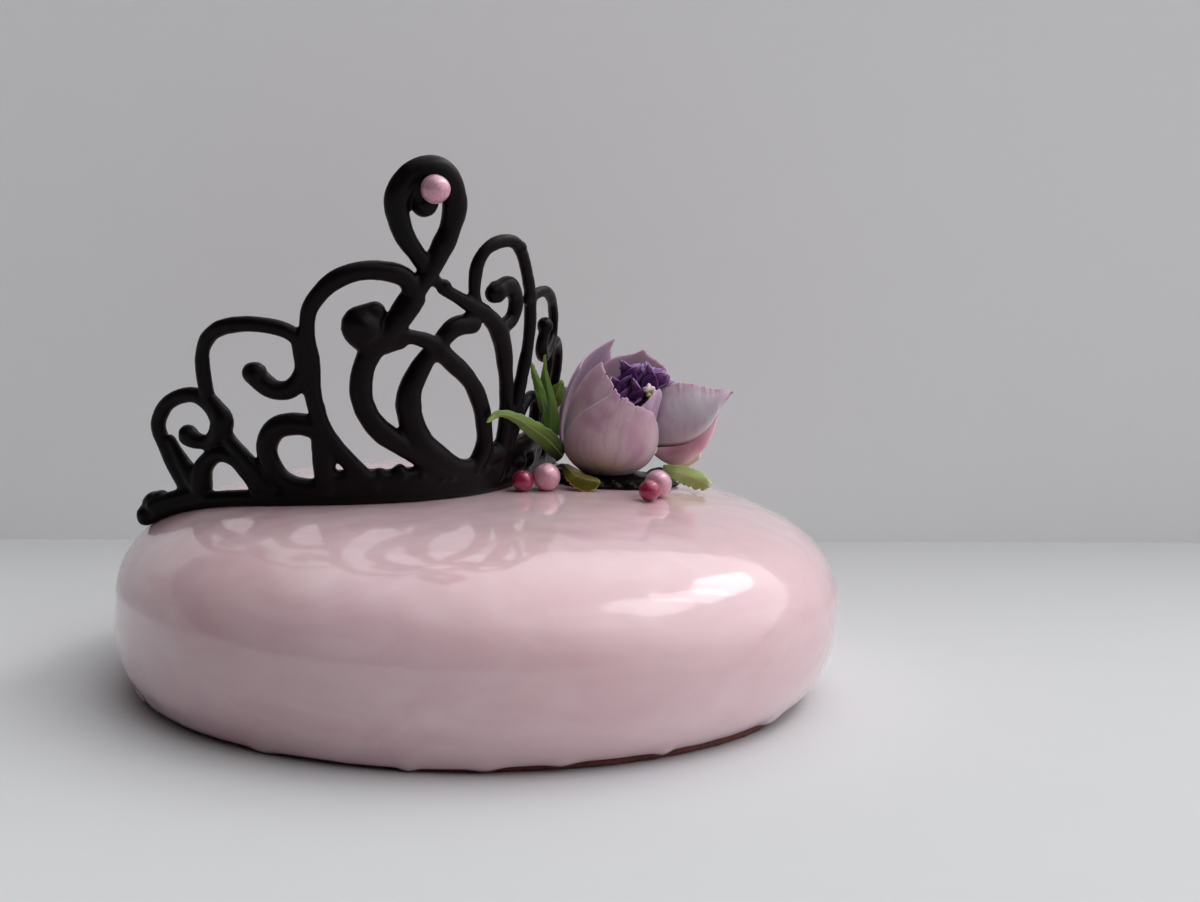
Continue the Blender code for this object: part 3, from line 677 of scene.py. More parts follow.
@dataclass(frozen=True)
class PipedChocolate:
    """Set dark chocolate with a soft sheen and the faint drag lines of the piping bag."""

    name: str = "dark_chocolate"
    dark: Shade = Shade(7, 4, 5)
    light: Shade = Shade(16, 9, 10)
    gloss: float = 0.3
    clouds: float = 160.0
    drag_lines: float = 500.0
    relief: float = 0.0001

    def make(self) -> Shading:
        """Make the material.

        Returns:
            The material.
        """
        bench = NodeBench(self.name)
        place = bench.place()
        cloud = bench.noise(place, self.clouds, 4.0, 0.6)
        drag = bench.noise(bench.stretch(place, (1.0, 1.0, 0.35)), self.drag_lines, 2.0)
        bench.shade(Base_Color=bench.ramp(cloud, ((0.3, self.dark), (0.75, self.light))))
        bench.shade(Roughness=bench.range(cloud, 0.3, 0.7, self.gloss, self.gloss + 0.16), IOR=1.5)
        bench.shade(Specular_IOR_Level=0.1)
        bench.shade(Normal=bench.bump(bench.sum(Sum.ADD, drag, cloud), self.relief, 0.35))
        return bench.material


@dataclass(frozen=True)
class PearlSugar:
    """Sugar pearl with a fine pearly film."""

    name: str
    deep: Shade
    light: Shade
    grains: float = 1300.0
    dimples: float = 1800.0
    dimple_depth: float = 0.00003

    def make(self) -> Shading:
        """Make the material.

        Returns:
            The material.
        """
        bench = NodeBench(self.name)
        place = bench.place()
        film = bench.noise(place, self.grains, 4.0, 0.6)
        bench.shade(Base_Color=bench.mix(bench.range(film, 0.35, 0.75, 0.0, 0.5), self.deep, self.light))
        bench.shade(Sheen_Weight=0.1, Sheen_Roughness=0.3)
        bench.shade(Roughness=bench.range(film, 0.3, 0.7, 0.24, 0.36), Metallic=0.15, IOR=1.5)
        bench.shade(Coat_Weight=0.7, Coat_Roughness=0.12)
        bench.shade(Subsurface_Weight=0.1, Subsurface_Radius=(1.0, 0.5, 0.5), Subsurface_Scale=0.001)
        bench.shade(Normal=bench.bump(bench.noise(place, self.dimples, 3.0), self.dimple_depth, 0.4))
        return bench.material


@dataclass(frozen=True)
class VeinedSkin:
    """Petal or leaf skin: colours from base to tip, fine veins along it and a velvety or waxy surface."""

    name: str
    base: Shade
    body: Shade
    tip: Shade
    vein: Shade
    base_reach: float = 0.22
    tip_start: float = 0.8
    veins: float = 46.0
    vein_weight: float = 0.5
    midrib: float = 0.0
    roughness: float = 0.55
    sheen: float = 0.35
    mottle: Shade | None = None
    blush: Shade | None = None
    hem: Shade | None = None
    border: Shade | None = None
    patches: float = 150.0
    flushes: float = 85.0
    grains: float = 2600.0
    relief: float = 0.0001

    def ground(self, bench: NodeBench, place: Socket, along: Socket) -> Socket:
        """Colours from base to tip, with their patches and flushes.

        Args:
            bench: The material's nodes.
            place: Place on the piece.
            along: Share of the way from base to tip.

        Returns:
            The colour.
        """
        ragged = bench.range(bench.noise(place, 190.0, 3.0), 0.0, 1.0, -0.16, 0.16)
        stops = ((0.02, self.base), (self.base_reach, self.body), (self.tip_start, self.body), (0.99, self.tip))
        colour = bench.ramp(bench.sum(Sum.ADD, along, ragged), stops)
        if self.mottle is not None:
            patch = bench.range(bench.noise(place, self.patches, 4.0, 0.6), 0.45, 0.72, 0.0, 0.7)
            colour = bench.mix(patch, colour, self.mottle)
        if self.blush is not None:
            flush = bench.range(bench.noise(place, self.flushes, 2.0, 0.5, 0.6), 0.46, 0.66, 0.0, 0.75)
            colour = bench.mix(flush, colour, self.blush)
        return colour

    def fibres(self, bench: NodeBench, place: Socket, along: Socket, across: Socket) -> Socket:
        """Fine lines that run from base to tip.

        Args:
            bench: The material's nodes.
            place: Place on the piece.
            along: Share of the way from base to tip.
            across: Share of the way from side to side.

        Returns:
            Their strength.
        """
        wander = bench.range(bench.noise(place, 110.0, 2.0), 0.0, 1.0, -1.4, 1.4)
        fan = bench.sum(Sum.ADD, bench.sum(Sum.MULTIPLY, across, self.veins), wander)
        return bench.noise(bench.spread(fan, bench.sum(Sum.MULTIPLY, along, 2.2)), 1.0, 3.0, 0.6)

    def edging(self, bench: NodeBench, colour: Socket, along: Socket, across: Socket) -> Socket:
        """Lay the midrib, the hem and the border over a colour.

        Args:
            bench: The material's nodes.
            colour: The colour under them.
            along: Share of the way from base to tip.
            across: Share of the way from side to side.

        Returns:
            The colour with them.
        """
        if self.midrib > 0.0:
            off = bench.sum(Sum.ABSOLUTE, bench.sum(Sum.SUBTRACT, across, 0.5))
            rib = bench.range(off, 0.012, 0.05, self.midrib * 0.7, 0.0)
            colour = bench.mix(rib, colour, self.tip)
        if self.hem is not None:
            # The dark hem band along the lower and right edges is partly the petal's own edge colour and partly
            # painted shade where it meets the next petal.
            hem_seam_shade_mask = bench.sum(Sum.MULTIPLY, along, bench.sum(Sum.SUBTRACT, 1.02, across))
            colour = bench.mix(bench.range(hem_seam_shade_mask, 0.03, 0.08, 0.95, 0.0), colour, self.hem)
        if self.border is not None:
            edge = bench.sum(Sum.ABSOLUTE, bench.sum(Sum.SUBTRACT, across, 0.5))
            colour = bench.mix(bench.range(edge, 0.43, 0.485, 0.0, 0.9), colour, self.border)
        return colour

    def make(self) -> Shading:
        """Make the material.

        Returns:
            The material.
        """
        bench = NodeBench(self.name)
        place = bench.place()
        along = bench.mark(Mark.ALONG)
        across = bench.mark(Mark.ACROSS)
        colour = self.ground(bench, place, along)
        lines = self.fibres(bench, place, along, across)
        thread = bench.range(lines, 0.5, 0.66, 0.0, self.vein_weight)
        colour = self.edging(bench, bench.mix(thread, colour, self.vein), along, across)
        grain = bench.noise(place, self.grains, 3.0, 0.6)
        relief = bench.sum(Sum.ADD, bench.sum(Sum.MULTIPLY, lines, 1.4), grain)
        bench.shade(Base_Color=colour, Roughness=self.roughness, IOR=1.4)
        bench.shade(Sheen_Weight=self.sheen, Sheen_Roughness=0.45)
        bench.shade(Subsurface_Weight=0.12, Subsurface_Radius=(1.0, 0.6, 0.6), Subsurface_Scale=0.0012)
        bench.shade(Normal=bench.bump(relief, self.relief, 0.6))
        return bench.material


@dataclass(frozen=True)
class StagePaint:
    """Plain pale paint of the floor and the backdrop."""

    name: str
    shade: Shade
    seen_behind: bool = True

    def make(self) -> Shading:
        """Make the material, clear from behind where it shouldn't be seen there.

        Returns:
            The material.
        """
        bench = NodeBench(self.name)
        grain = bench.noise(bench.place(), 60.0, 3.0)
        tone = bench.mix(bench.range(grain, 0.0, 1.0, 0.0, 0.04), self.shade, Shade(255, 255, 255))
        bench.shade(Base_Color=tone, Roughness=0.7)
        if not self.seen_behind:
            behind = bench.add("ShaderNodeNewGeometry", {}).outputs["Backfacing"]
            clear = bench.add("ShaderNodeBsdfTransparent", {}).outputs[0]
            joined = bench.tree.nodes.new("ShaderNodeMixShader")
            bench.feed(joined.inputs[0], behind)
            bench.feed(joined.inputs[1], bench.shader.outputs[0])
            bench.feed(joined.inputs[2], clear)
            bench.feed(bench.tree.nodes["Material Output"].inputs["Surface"], joined.outputs[0])
        return bench.material


# The stage


@dataclass(frozen=True)
class SoftPanel:
    """One soft panel light: the way to it from the cake, its distance, size and brightness."""

    name: str
    way: tuple[float, float, float]
    distance: float
    size: tuple[float, float]
    brightness: float
    aim_height: float = 30.0

    def hang(self) -> None:
        """Hang the panel, facing the cake."""
        data = bpy.data.lights.new(self.name, "AREA")
        data.shape = "ELLIPSE"
        data.size, data.size_y = self.size[0] * MM, self.size[1] * MM
        data.energy = self.brightness * math.pi * data.size * data.size_y
        lamp = show(self.name, data)
        toward = Vector(self.way).normalized()
        lamp.location = (toward * self.distance + Vector((0.0, 0.0, self.aim_height))) * MM
        lamp.rotation_mode = "QUATERNION"
        lamp.rotation_quaternion = (-toward).to_track_quat("-Z", "Y")


@dataclass
class Studio:
    """Camera, floor, backdrop and soft light."""

    lens: float = 80.0
    sensor: float = 36.0
    eye: tuple[float, float, float] = (29.5, -654.4, 172.2)
    tilt_degrees: float = 9.76
    roll_degrees: float = 1.47
    bright_way: tuple[float, float, float] = (0.64, 0.24, 0.73)
    glow_start: float = 0.2
    glow_end: float = 0.95
    dim_side: tuple[float, float, float, float] = (0.03, 0.027, 0.027, 1.0)
    bright_side: tuple[float, float, float, float] = (1.7, 1.71, 1.72, 1.0)
    floor_reach: float = 3000.0
    wall_left: tuple[float, float] = (-156.3, 157.1)
    wall_right: tuple[float, float] = (226.1, 199.2)
    wall_height: float = 190.0
    panels: tuple[SoftPanel, ...] = (
        SoftPanel("window_upper", (0.55, 0.46, 0.65), 1200.0, (440.0, 320.0), 2.4),
        SoftPanel("window_middle", (0.55, 0.27, 0.73), 1240.0, (300.0, 370.0), 2.1),
        SoftPanel("window_lower", (0.54, 0.05, 0.8), 1200.0, (430.0, 400.0), 2.0),
        SoftPanel("soft_fill", (0.45, -0.2, 0.88), 2200.0, (1700.0, 1300.0), 0.45),
    )
    floor_paint: StagePaint = field(default_factory=lambda: StagePaint("pale_table", Shade(206, 207, 209)))
    wall_paint: StagePaint = field(default_factory=lambda: StagePaint("pale_wall", Shade(240, 240, 241), False))

    def camera(self) -> None:
        """Place the camera at the photograph's viewing angle."""
        data = bpy.data.cameras.new("camera")
        data.lens = self.lens
        data.sensor_width = self.sensor
        data.sensor_fit = "HORIZONTAL"
        data.clip_start = 0.01
        camera = show("camera", data)
        tilt = Matrix.Rotation(math.radians(90.0 - self.tilt_degrees), 4, "X")
        roll = Matrix.Rotation(math.radians(self.roll_degrees), 4, "Z")
        camera.matrix_world = Matrix.Translation(Vector(self.eye) * MM) @ tilt @ roll
        bpy.context.scene.camera = camera

    def panel(self, name: str, corners: Sequence[Sequence[float]], paint: StagePaint) -> None:
        """Add a flat panel of the stage.

        Args:
            name: Its name.
            corners: Its four corners in millimetres, anticlockwise from its shown side.
            paint: Its paint.
        """
        mesh = bpy.data.meshes.new(name)
        mesh.from_pydata([Vector(corner) * MM for corner in corners], [], [(0, 1, 2, 3)])
        mesh.materials.append(paint.make())
        show(name, mesh)

    def surfaces(self) -> None:
        """Add the floor and the low backdrop behind the cake."""
        far = self.floor_reach
        corners = ((-far, -far, 0), (far, -far, 0), (far, far, 0), (-far, far, 0))
        self.panel("stage_floor", corners, self.floor_paint)
        left, right = Vector(self.wall_left), Vector(self.wall_right)
        way = (right - left).normalized() * far
        middle = (left + right) / 2
        a, b = middle - way, middle + way
        top = self.wall_height
        corners = ((a.x, a.y, 0), (b.x, b.y, 0), (b.x, b.y, top), (a.x, a.y, top))
        self.panel("stage_wall", corners, self.wall_paint)

    def sky(self) -> None:
        """Dim the room, lighter towards the window side and dark to the left."""
        world = bpy.data.worlds.new("room")
        bpy.context.scene.world = world
        world.use_nodes = True
        tree = world.node_tree
        shine = tree.nodes["Background"]
        where = tree.nodes.new("ShaderNodeTexCoord")
        toward = tree.nodes.new("ShaderNodeVectorMath")
        toward.operation = "DOT_PRODUCT"
        toward.inputs[1].default_value = Vector(self.bright_way).normalized()
        tree.links.new(where.outputs["Generated"], toward.inputs[0])
        share = tree.nodes.new("ShaderNodeMapRange")
        share.interpolation_type = "SMOOTHSTEP"
        share.inputs["From Min"].default_value = self.glow_start
        share.inputs["From Max"].default_value = self.glow_end
        tree.links.new(toward.outputs["Value"], share.inputs["Value"])
        band = tree.nodes.new("ShaderNodeValToRGB")
        band.color_ramp.elements[0].color = self.dim_side
        band.color_ramp.elements[1].color = self.bright_side
        tree.links.new(share.outputs["Result"], band.inputs["Fac"])
        tree.links.new(band.outputs["Color"], shine.inputs["Color"])
        shine.inputs["Strength"].default_value = 1.0

    def build(self) -> None:
        """Set up the whole stage."""
        self.camera()
        self.surfaces()
        for panel in self.panels:
            panel.hang()
        self.sky()
        settings = bpy.context.scene.view_settings
        settings.view_transform = "Standard"
        settings.look = "None"


# The glazed body and its biscuit sheet


@dataclass
class Mousse:
    """The glazed mousse: low dome, wide shoulder and rolled-in foot with small drips."""

    radius: float = 90.0
    height: float = 48.4
    widest: float = 22.4
    dome_power: float = 4.5
    shoulder_power: float = 2.27
    foot: float = 74.0
    foot_power: float = 2.45
    foot_shift: float = -1.5
    bottom: float = 2.3
    segments: int = 720
    foot_rings: int = 24
    dome_rings: int = 80
    drip_angles: tuple[float, ...] = (200.0, 238.0, 263.0, 275.0, 287.0, 305.0, 332.0, 20.0, 95.0, 150.0)
    drip_width: float = 3.0
    drip_change: float = 1.1
    skirt_depth: float = 1.2
    skirt_ripple: float = 0.16
    skirt_start: tuple[float, float] = (165.0, 20.0)
    skirt_end: tuple[float, float] = (288.0, 26.0)
    foot_fade: float = 1.5
    lip_drip_out: float = 0.4
    lip_drip_down: float = 0.6
    lip_lowest: float = 0.12
    side_drip_out: float = 0.45
    side_drip_down: float = 0.4
    side_lowest: float = 0.3
    waves: Triples = ((0.35, 2, 0.7), (0.22, 5, 2.1))
    ripples: Triples = ((0.12, 17.0, 0.0), (0.07, 6.5, 3.0), (0.014, 2.6, 8.0))
    middle: float = 2.0
    finish: MirrorGlaze = MirrorGlaze()

    def dome(self, reach: float) -> float:
        """Height of the glazed top at a distance from the middle.

        Args:
            reach: Distance from the middle.

        Returns:
            The height.
        """
        share = min(abs(reach) / self.radius, 1.0)
        rise = max(1.0 - share**self.dome_power, 0.0) ** (1.0 / self.shoulder_power)
        return self.widest + (self.height - self.widest) * rise

    def dome_at(self, x: float, y: float) -> float:
        """Height of the glazed top over a plan point."""
        return self.dome(math.hypot(x, y))

    def normal(self, x: float, y: float) -> Vector:
        """Outward direction of the glazed top over a plan point.

        Args:
            x: Plan point's X.
            y: Plan point's Y.

        Returns:
            The direction.
        """
        reach = max(math.hypot(x, y), 0.5)
        slope = (self.dome(reach + 0.2) - self.dome(reach - 0.2)) / 0.4
        return Vector((-slope * x / reach, -slope * y / reach, 1.0)).normalized()

    def side(self, height: float) -> float:
        """Radius of the glazed side at a height below its widest place.

        Args:
            height: The height.

        Returns:
            The radius.
        """
        share = min(max((self.widest - height) / self.widest, 0.0), 1.0)
        reach = max(1.0 - share**self.foot_power, 0.0) ** (1.0 / self.foot_power)
        return self.foot + (self.radius - self.foot) * reach

    def profile(self) -> list[tuple[float, float]]:
        """Radius and height pairs from the lip at the foot to the middle of the top.

        Returns:
            The pairs, in order.
        """
        pairs = []
        for i in range(self.foot_rings):
            share = 1.0 - math.cos(math.pi / 2 * (i / self.foot_rings))
            height = self.bottom + (self.widest - self.bottom) * (1 - (1 - share) ** 1.4)
            pairs.append((self.side(height), height))
        for i in range(self.dome_rings):
            turn = math.pi / 2 * (i / self.dome_rings)
            reach = self.radius * math.cos(turn) ** (2.0 / self.dome_power)
            pairs.append((reach, self.dome(reach)))
        return pairs

    def drip(self, angle: float) -> float:
        """Share of a drip at an angle round the foot, 1 in its middle.

        Args:
            angle: Angle round the cake.

        Returns:
            The share.
        """
        best = 0.0
        for number, degrees in enumerate(self.drip_angles):
            off = math.remainder(angle - math.radians(degrees), TURN) * self.side(self.bottom)
            width = self.drip_width + self.drip_change * math.sin(number * 2.3)
            best = max(best, math.exp(-((off / width) ** 2)))
        return best

    def skirt(self, angle: float) -> float:
        """How far the foot hangs down at an angle: it hides the biscuit at the front left.

        Args:
            angle: Angle round the cake.

        Returns:
            The length, in millimetres.
        """
        turn = math.degrees(angle) % 360.0
        rise = min(max((turn - self.skirt_start[0]) / self.skirt_start[1], 0.0), 1.0)
        fall = min(max((self.skirt_end[0] - turn) / self.skirt_end[1], 0.0), 1.0)
        share = min(rise, fall)
        ripple = waver(30.0 * math.cos(angle), 30.0 * math.sin(angle), 0.0, 2.6, 5.0)
        return self.skirt_depth * share * share * (3.0 - 2.0 * share) + self.skirt_ripple * ripple

    def swell(self, angle: float, height: float) -> float:
        """Unevenness of the poured glaze at a place on its side."""
        return swing(angle, self.waves) * (1.0 - min(height / self.height, 1.0))

    def lip_ring(self, reach: float, height: float, share: float, hangs: Triples) -> Ring:
        """One ring of the underside and the lip round it.

        Args:
            reach: Its radius.
            height: Its height.
            share: How much of the drips and of the hanging foot it takes.
            hangs: Angle, drip and hanging foot of each point.

        Returns:
            The ring's points.
        """
        ring = []
        for angle, drip, skirt in hangs:
            sag = drip * share
            out = reach + sag * self.lip_drip_out + self.swell(angle, height)
            low = max(height - sag * self.lip_drip_down - skirt * share, self.lip_lowest)
            ring.append((out * math.cos(angle) + self.foot_shift, out * math.sin(angle), low))
        return ring

    def side_ring(self, reach: float, height: float, hangs: Triples) -> Ring:
        """One ring of the side and the top.

        Args:
            reach: Its radius.
            height: Its height.
            hangs: Angle, drip and hanging foot of each point.

        Returns:
            The ring's points.
        """
        low = max(0.0, 1.0 - height / self.widest)
        fade = math.exp(-(((height - self.bottom) / self.foot_fade) ** 2))
        ring = []
        for angle, drip, skirt in hangs:
            out = min(reach + self.swell(angle, height), self.radius)
            x, y = out * math.cos(angle), out * math.sin(angle)
            wobble = sum(depth * waver(x, y, height, size, seed) for depth, size, seed in self.ripples)
            out += wobble * min(1.0, reach / 20.0) * min(1.0, (self.radius - out) / 0.2)
            out += drip * fade * self.side_drip_out
            z = height + wobble * min(1.0, max(0.0, (height - 30.0) / 10.0))
            z = max(z - (drip * self.side_drip_down + skirt) * fade, self.side_lowest)
            ring.append((out * math.cos(angle) + self.foot_shift * low, out * math.sin(angle), z))
        return ring

    def build(self) -> None:
        """Make the glazed body."""
        angles = around(self.segments)
        hangs = [(angle, self.drip(angle), self.skirt(angle)) for angle in angles]
        pairs = self.profile()
        lip = pairs[0][0]
        under = ((0.6 * lip, self.bottom, 0.0), (lip - 3.0, self.bottom, 0.0),
                 (lip - 1.1, self.bottom - 0.1, 0.5), (lip - 0.45, self.bottom - 0.25, 1.0))
        rings = [self.lip_ring(reach, height, share, hangs) for reach, height, share in under]
        rings += [self.side_ring(reach, height, hangs) for reach, height in pairs]
        rings.append([(self.middle * math.cos(angle), self.middle * math.sin(angle), self.height)
                      for angle in angles])
        clay = Clay()
        clay.skin(np.array(rings))
        place("mirror_glaze", clay.mesh("mirror_glaze"), self.finish.make(), Slot.GLAZE, ["glazed_mousse"])


@dataclass
class Biscuit:
    """The thin biscuit sheet under the mousse, with a crumbly edge."""

    radius: float = 81.1
    shift: float = -1.5
    segments: int = 540
    waves: Triples = ((0.35, 7, 0.0), (0.25, 11, 1.0))
    crumb: float = 0.28
    crumb_size: float = 2.2
    levels: tuple[tuple[float, float], ...] = (
        (0.0, 0.5), (0.0, 0.985), (0.25, 0.996), (0.8, 1.0), (1.3, 0.999), (1.8, 0.995), (2.0, 0.985), (2.0, 0.5))
    finish: BakedBiscuit = BakedBiscuit()

    def build(self) -> None:
        """Make the biscuit sheet."""
        rings = []
        for height, shrink in self.levels:
            crumb = self.crumb if shrink > 0.9 else 0.0
            ring = []
            for angle in around(self.segments):
                out = (self.radius + swing(angle, self.waves)) * shrink
                x, y = out * math.cos(angle), out * math.sin(angle)
                out += crumb * waver(x, y, height, self.crumb_size)
                ring.append((out * math.cos(angle) + self.shift, out * math.sin(angle), height))
            rings.append(ring)
        clay = Clay()
        clay.skin(np.array(rings))
        place("biscuit_sheet", clay.mesh("biscuit_sheet"), self.finish.make(), Slot.BISCUIT, ["biscuit_base"])


# The piped tiara


@dataclass(frozen=True)
class TiaraWall:
    """The flared, bent surface that the flat pattern is laid on."""

    ring_x: float = -38.2
    ring_y: float = 29.5
    ring_radius: float = 49.0
    middle: float = math.radians(33.0)
    arc_left: float = 50.0
    arc_right: float = 38.5
    flare: float = math.radians(8.0)
    foot: float = 47.9

    def plan(self, along: float) -> tuple[float, float, Vector]:
        """Plan point of the wall's foot and its outward direction.

        Args:
            along: Length from the wall's middle, positive to the right.

        Returns:
            X, Y and the direction.
        """
        on_arc = min(max(along, -self.arc_left), self.arc_right)
        heading = self.middle + on_arc / self.ring_radius
        x = self.ring_x + self.ring_radius * math.sin(heading) + (along - on_arc) * math.cos(heading)
        y = self.ring_y - self.ring_radius * math.cos(heading) + (along - on_arc) * math.sin(heading)
        return x, y, Vector((math.sin(heading), -math.cos(heading), 0.0))

    def point(self, along: float, up: float, proud: float = 0.0) -> tuple[Vector, Vector]:
        """Point of the wall and its normal there.

        Args:
            along: Length from the wall's middle.
            up: Length up the wall.
            proud: Distance in front of the wall.

        Returns:
            The point and the normal.
        """
        x, y, out = self.plan(along)
        reach = up * math.sin(self.flare)
        normal = out * math.cos(self.flare) - Vector((0.0, 0.0, math.sin(self.flare)))
        point = Vector((x + out.x * reach, y + out.y * reach, self.foot + up * math.cos(self.flare)))
        return point + normal * proud, normal


@dataclass(frozen=True)
class Stroke:
    """One piped line of the flat pattern: knots of length and height, radii along it, and its stand-off."""

    knots: Knots
    radii: tuple[float, ...]
    proud: float = 0.0


LEFT_SIDE = (
    Stroke([(-62.6, -0.3), (-66.5, 5.8), (-69.8, 12.6), (-70.8, 17.5), (-68.4, 21.9), (-64, 24.8),
            (-59.2, 25.5), (-54.8, 23.2), (-52.8, 19.7)], (2.5, 2.0, 1.9, 1.9, 2.4)),
    Stroke([(-67.5, 13.5), (-65.0, 9.0), (-61.5, 3.4)], (1.35, 1.9, 2.5), 0.1),
    Stroke([(-53.8, 24.3), (-51.6, 20.3), (-53.3, 16.3), (-57.3, 13.9), (-62.3, 14.8)], (1.9, 3.0, 1.9, 2.3), 0.3),
    Stroke([(-40.4, 3.6), (-46, 10.6), (-51.5, 17), (-55, 24.6), (-56.4, 32.6), (-55.4, 38.5), (-51, 42.8),
            (-43.2, 44.9), (-35.6, 43.9), (-31.2, 40.6)], (2.0, 1.9, 1.9, 1.9), 0.2),
    Stroke([(-32.1, 40.5), (-31.6, 34.5), (-33.9, 29.5), (-38.6, 28.9), (-43.1, 32.6)], (2.0, 2.3, 2.7), -0.1),
    Stroke([(-15.4, 5.6), (-21.5, 11.6), (-27, 19.1), (-29.2, 27.6), (-29.5, 36.6), (-30.5, 43.6),
            (-29.3, 50.5), (-24.5, 56.5), (-17.4, 58.9), (-10.6, 57.1), (-7.8, 51.6)],
           (2.1, 2.1, 1.9, 2.3, 2.5), 0.4),
    Stroke([(-10.8, 41.5), (-14.8, 41.3), (-18.6, 42.8), (-20.2, 46), (-16.4, 48.6)], (2.4, 3.6, 4.0, 3.4, 2.6), 0.1),
    Stroke([(-59.6, 2.4), (-58.6, 7), (-54.6, 11), (-49.7, 10.9), (-45.9, 7.3), (-43.5, 3.6)],
           (3.0, 2.3, 2.1, 2.1), 0.15),
    Stroke([(-28, 19.4), (-33.4, 20.4), (-38.3, 19), (-40.7, 14), (-39.4, 8.8), (-34.6, 4.9), (-27.5, 4)],
           (2.7, 2.8, 2.4, 2.6), -0.2),
    Stroke([(-28.5, 25), (-27.5, 15), (-26.5, 4.6)], (2.0, 2.7, 2.7), 0.05),
)

MIDDLE = (
    Stroke([(-1.2, 54.4), (-4.2, 56.6), (-8, 62.3), (-11.6, 69), (-12.8, 76.2), (-9.7, 82.2), (-4.3, 82.5),
            (-0.9, 76.7), (-1, 69), (-3.6, 61.8), (-7.1, 55), (-11.5, 47)], (1.4, 2.4, 3.1, 3.1, 2.9, 2.6, 2.9)),
    Stroke([(-6, 82), (-7.5, 78.6), (-7.1, 75.2)], (2.8, 3.2, 3.2), -0.4),
    Stroke([(-9, 50.5), (-12.5, 45), (-16.6, 39.5), (-18.6, 33), (-18.4, 26), (-14.9, 19.9), (-8.2, 14.7),
            (-2, 10.2), (4, 6.6)], (3.0, 2.8, 2.8, 2.7, 2.0), 0.35),
    Stroke([(-2, 54), (3.5, 50.7), (9.7, 47), (14.7, 42), (18.2, 33), (20.7, 23), (21.5, 14), (20, 5.4)],
           (1.5, 2.1, 2.4, 1.9, 2.1, 2.4), 0.3),
    Stroke([(-11, 43), (-5.5, 41.6), (-1, 39.6)], (1.8, 1.9), 0.55),
    Stroke([(6.4, 44.8), (1.8, 44), (-2.4, 39), (-5.8, 34), (-7.7, 28), (-7.1, 21.6), (-4.2, 15.6),
            (0.8, 11.3), (7.2, 8), (13, 8.3)], (2.6, 2.3, 3.1, 3.4, 3.0, 2.1), -0.15),
    Stroke([(-1.5, 38.5), (4.5, 33.3), (10, 26.8), (13.2, 19.3), (14.2, 13), (11.4, 7.5)],
           (2.4, 2.2, 2.2, 2.3), 0.25),
)

RIGHT_SIDE = (
    Stroke([(8, 47), (6.2, 52.6), (6, 58.8), (8.3, 63.4), (13, 65), (17.5, 63.2), (21.6, 57), (25, 49),
            (26.8, 39.5), (26.3, 30), (25, 20), (24, 6)], (1.6, 1.65, 1.65, 1.8, 2.1), 0.1),
    Stroke([(14.5, 42.8), (18.8, 45), (19.5, 49.8), (16.2, 53.6), (12.2, 52)], (1.8, 2.0, 2.6), -0.2),
    Stroke([(23.5, 49.5), (29, 50.8), (34.5, 49.8), (41, 45), (45.5, 38), (46, 29), (43, 18), (41, 5)],
           (1.5, 1.4, 1.4, 1.7), 0.2),
    Stroke([(45.2, 37.5), (38.6, 33.3), (34.8, 35.8), (35.6, 40.5)], (1.5, 1.7, 1.6), 0.4),
    Stroke([(45, 33), (50, 35.5), (56, 32.5), (58.5, 25), (57, 14), (56, 3.2)], (1.4, 1.5, 1.7), 0.05),
    Stroke([(24, 11), (27, 18.5), (31, 23), (36, 22.5), (39.5, 16.5), (40, 6)], (1.7, 1.5, 1.8), 0.25),
    Stroke([(57, 10), (61.5, 12), (65.5, 8), (66, 3)], (1.6, 1.5, 1.7)),
)


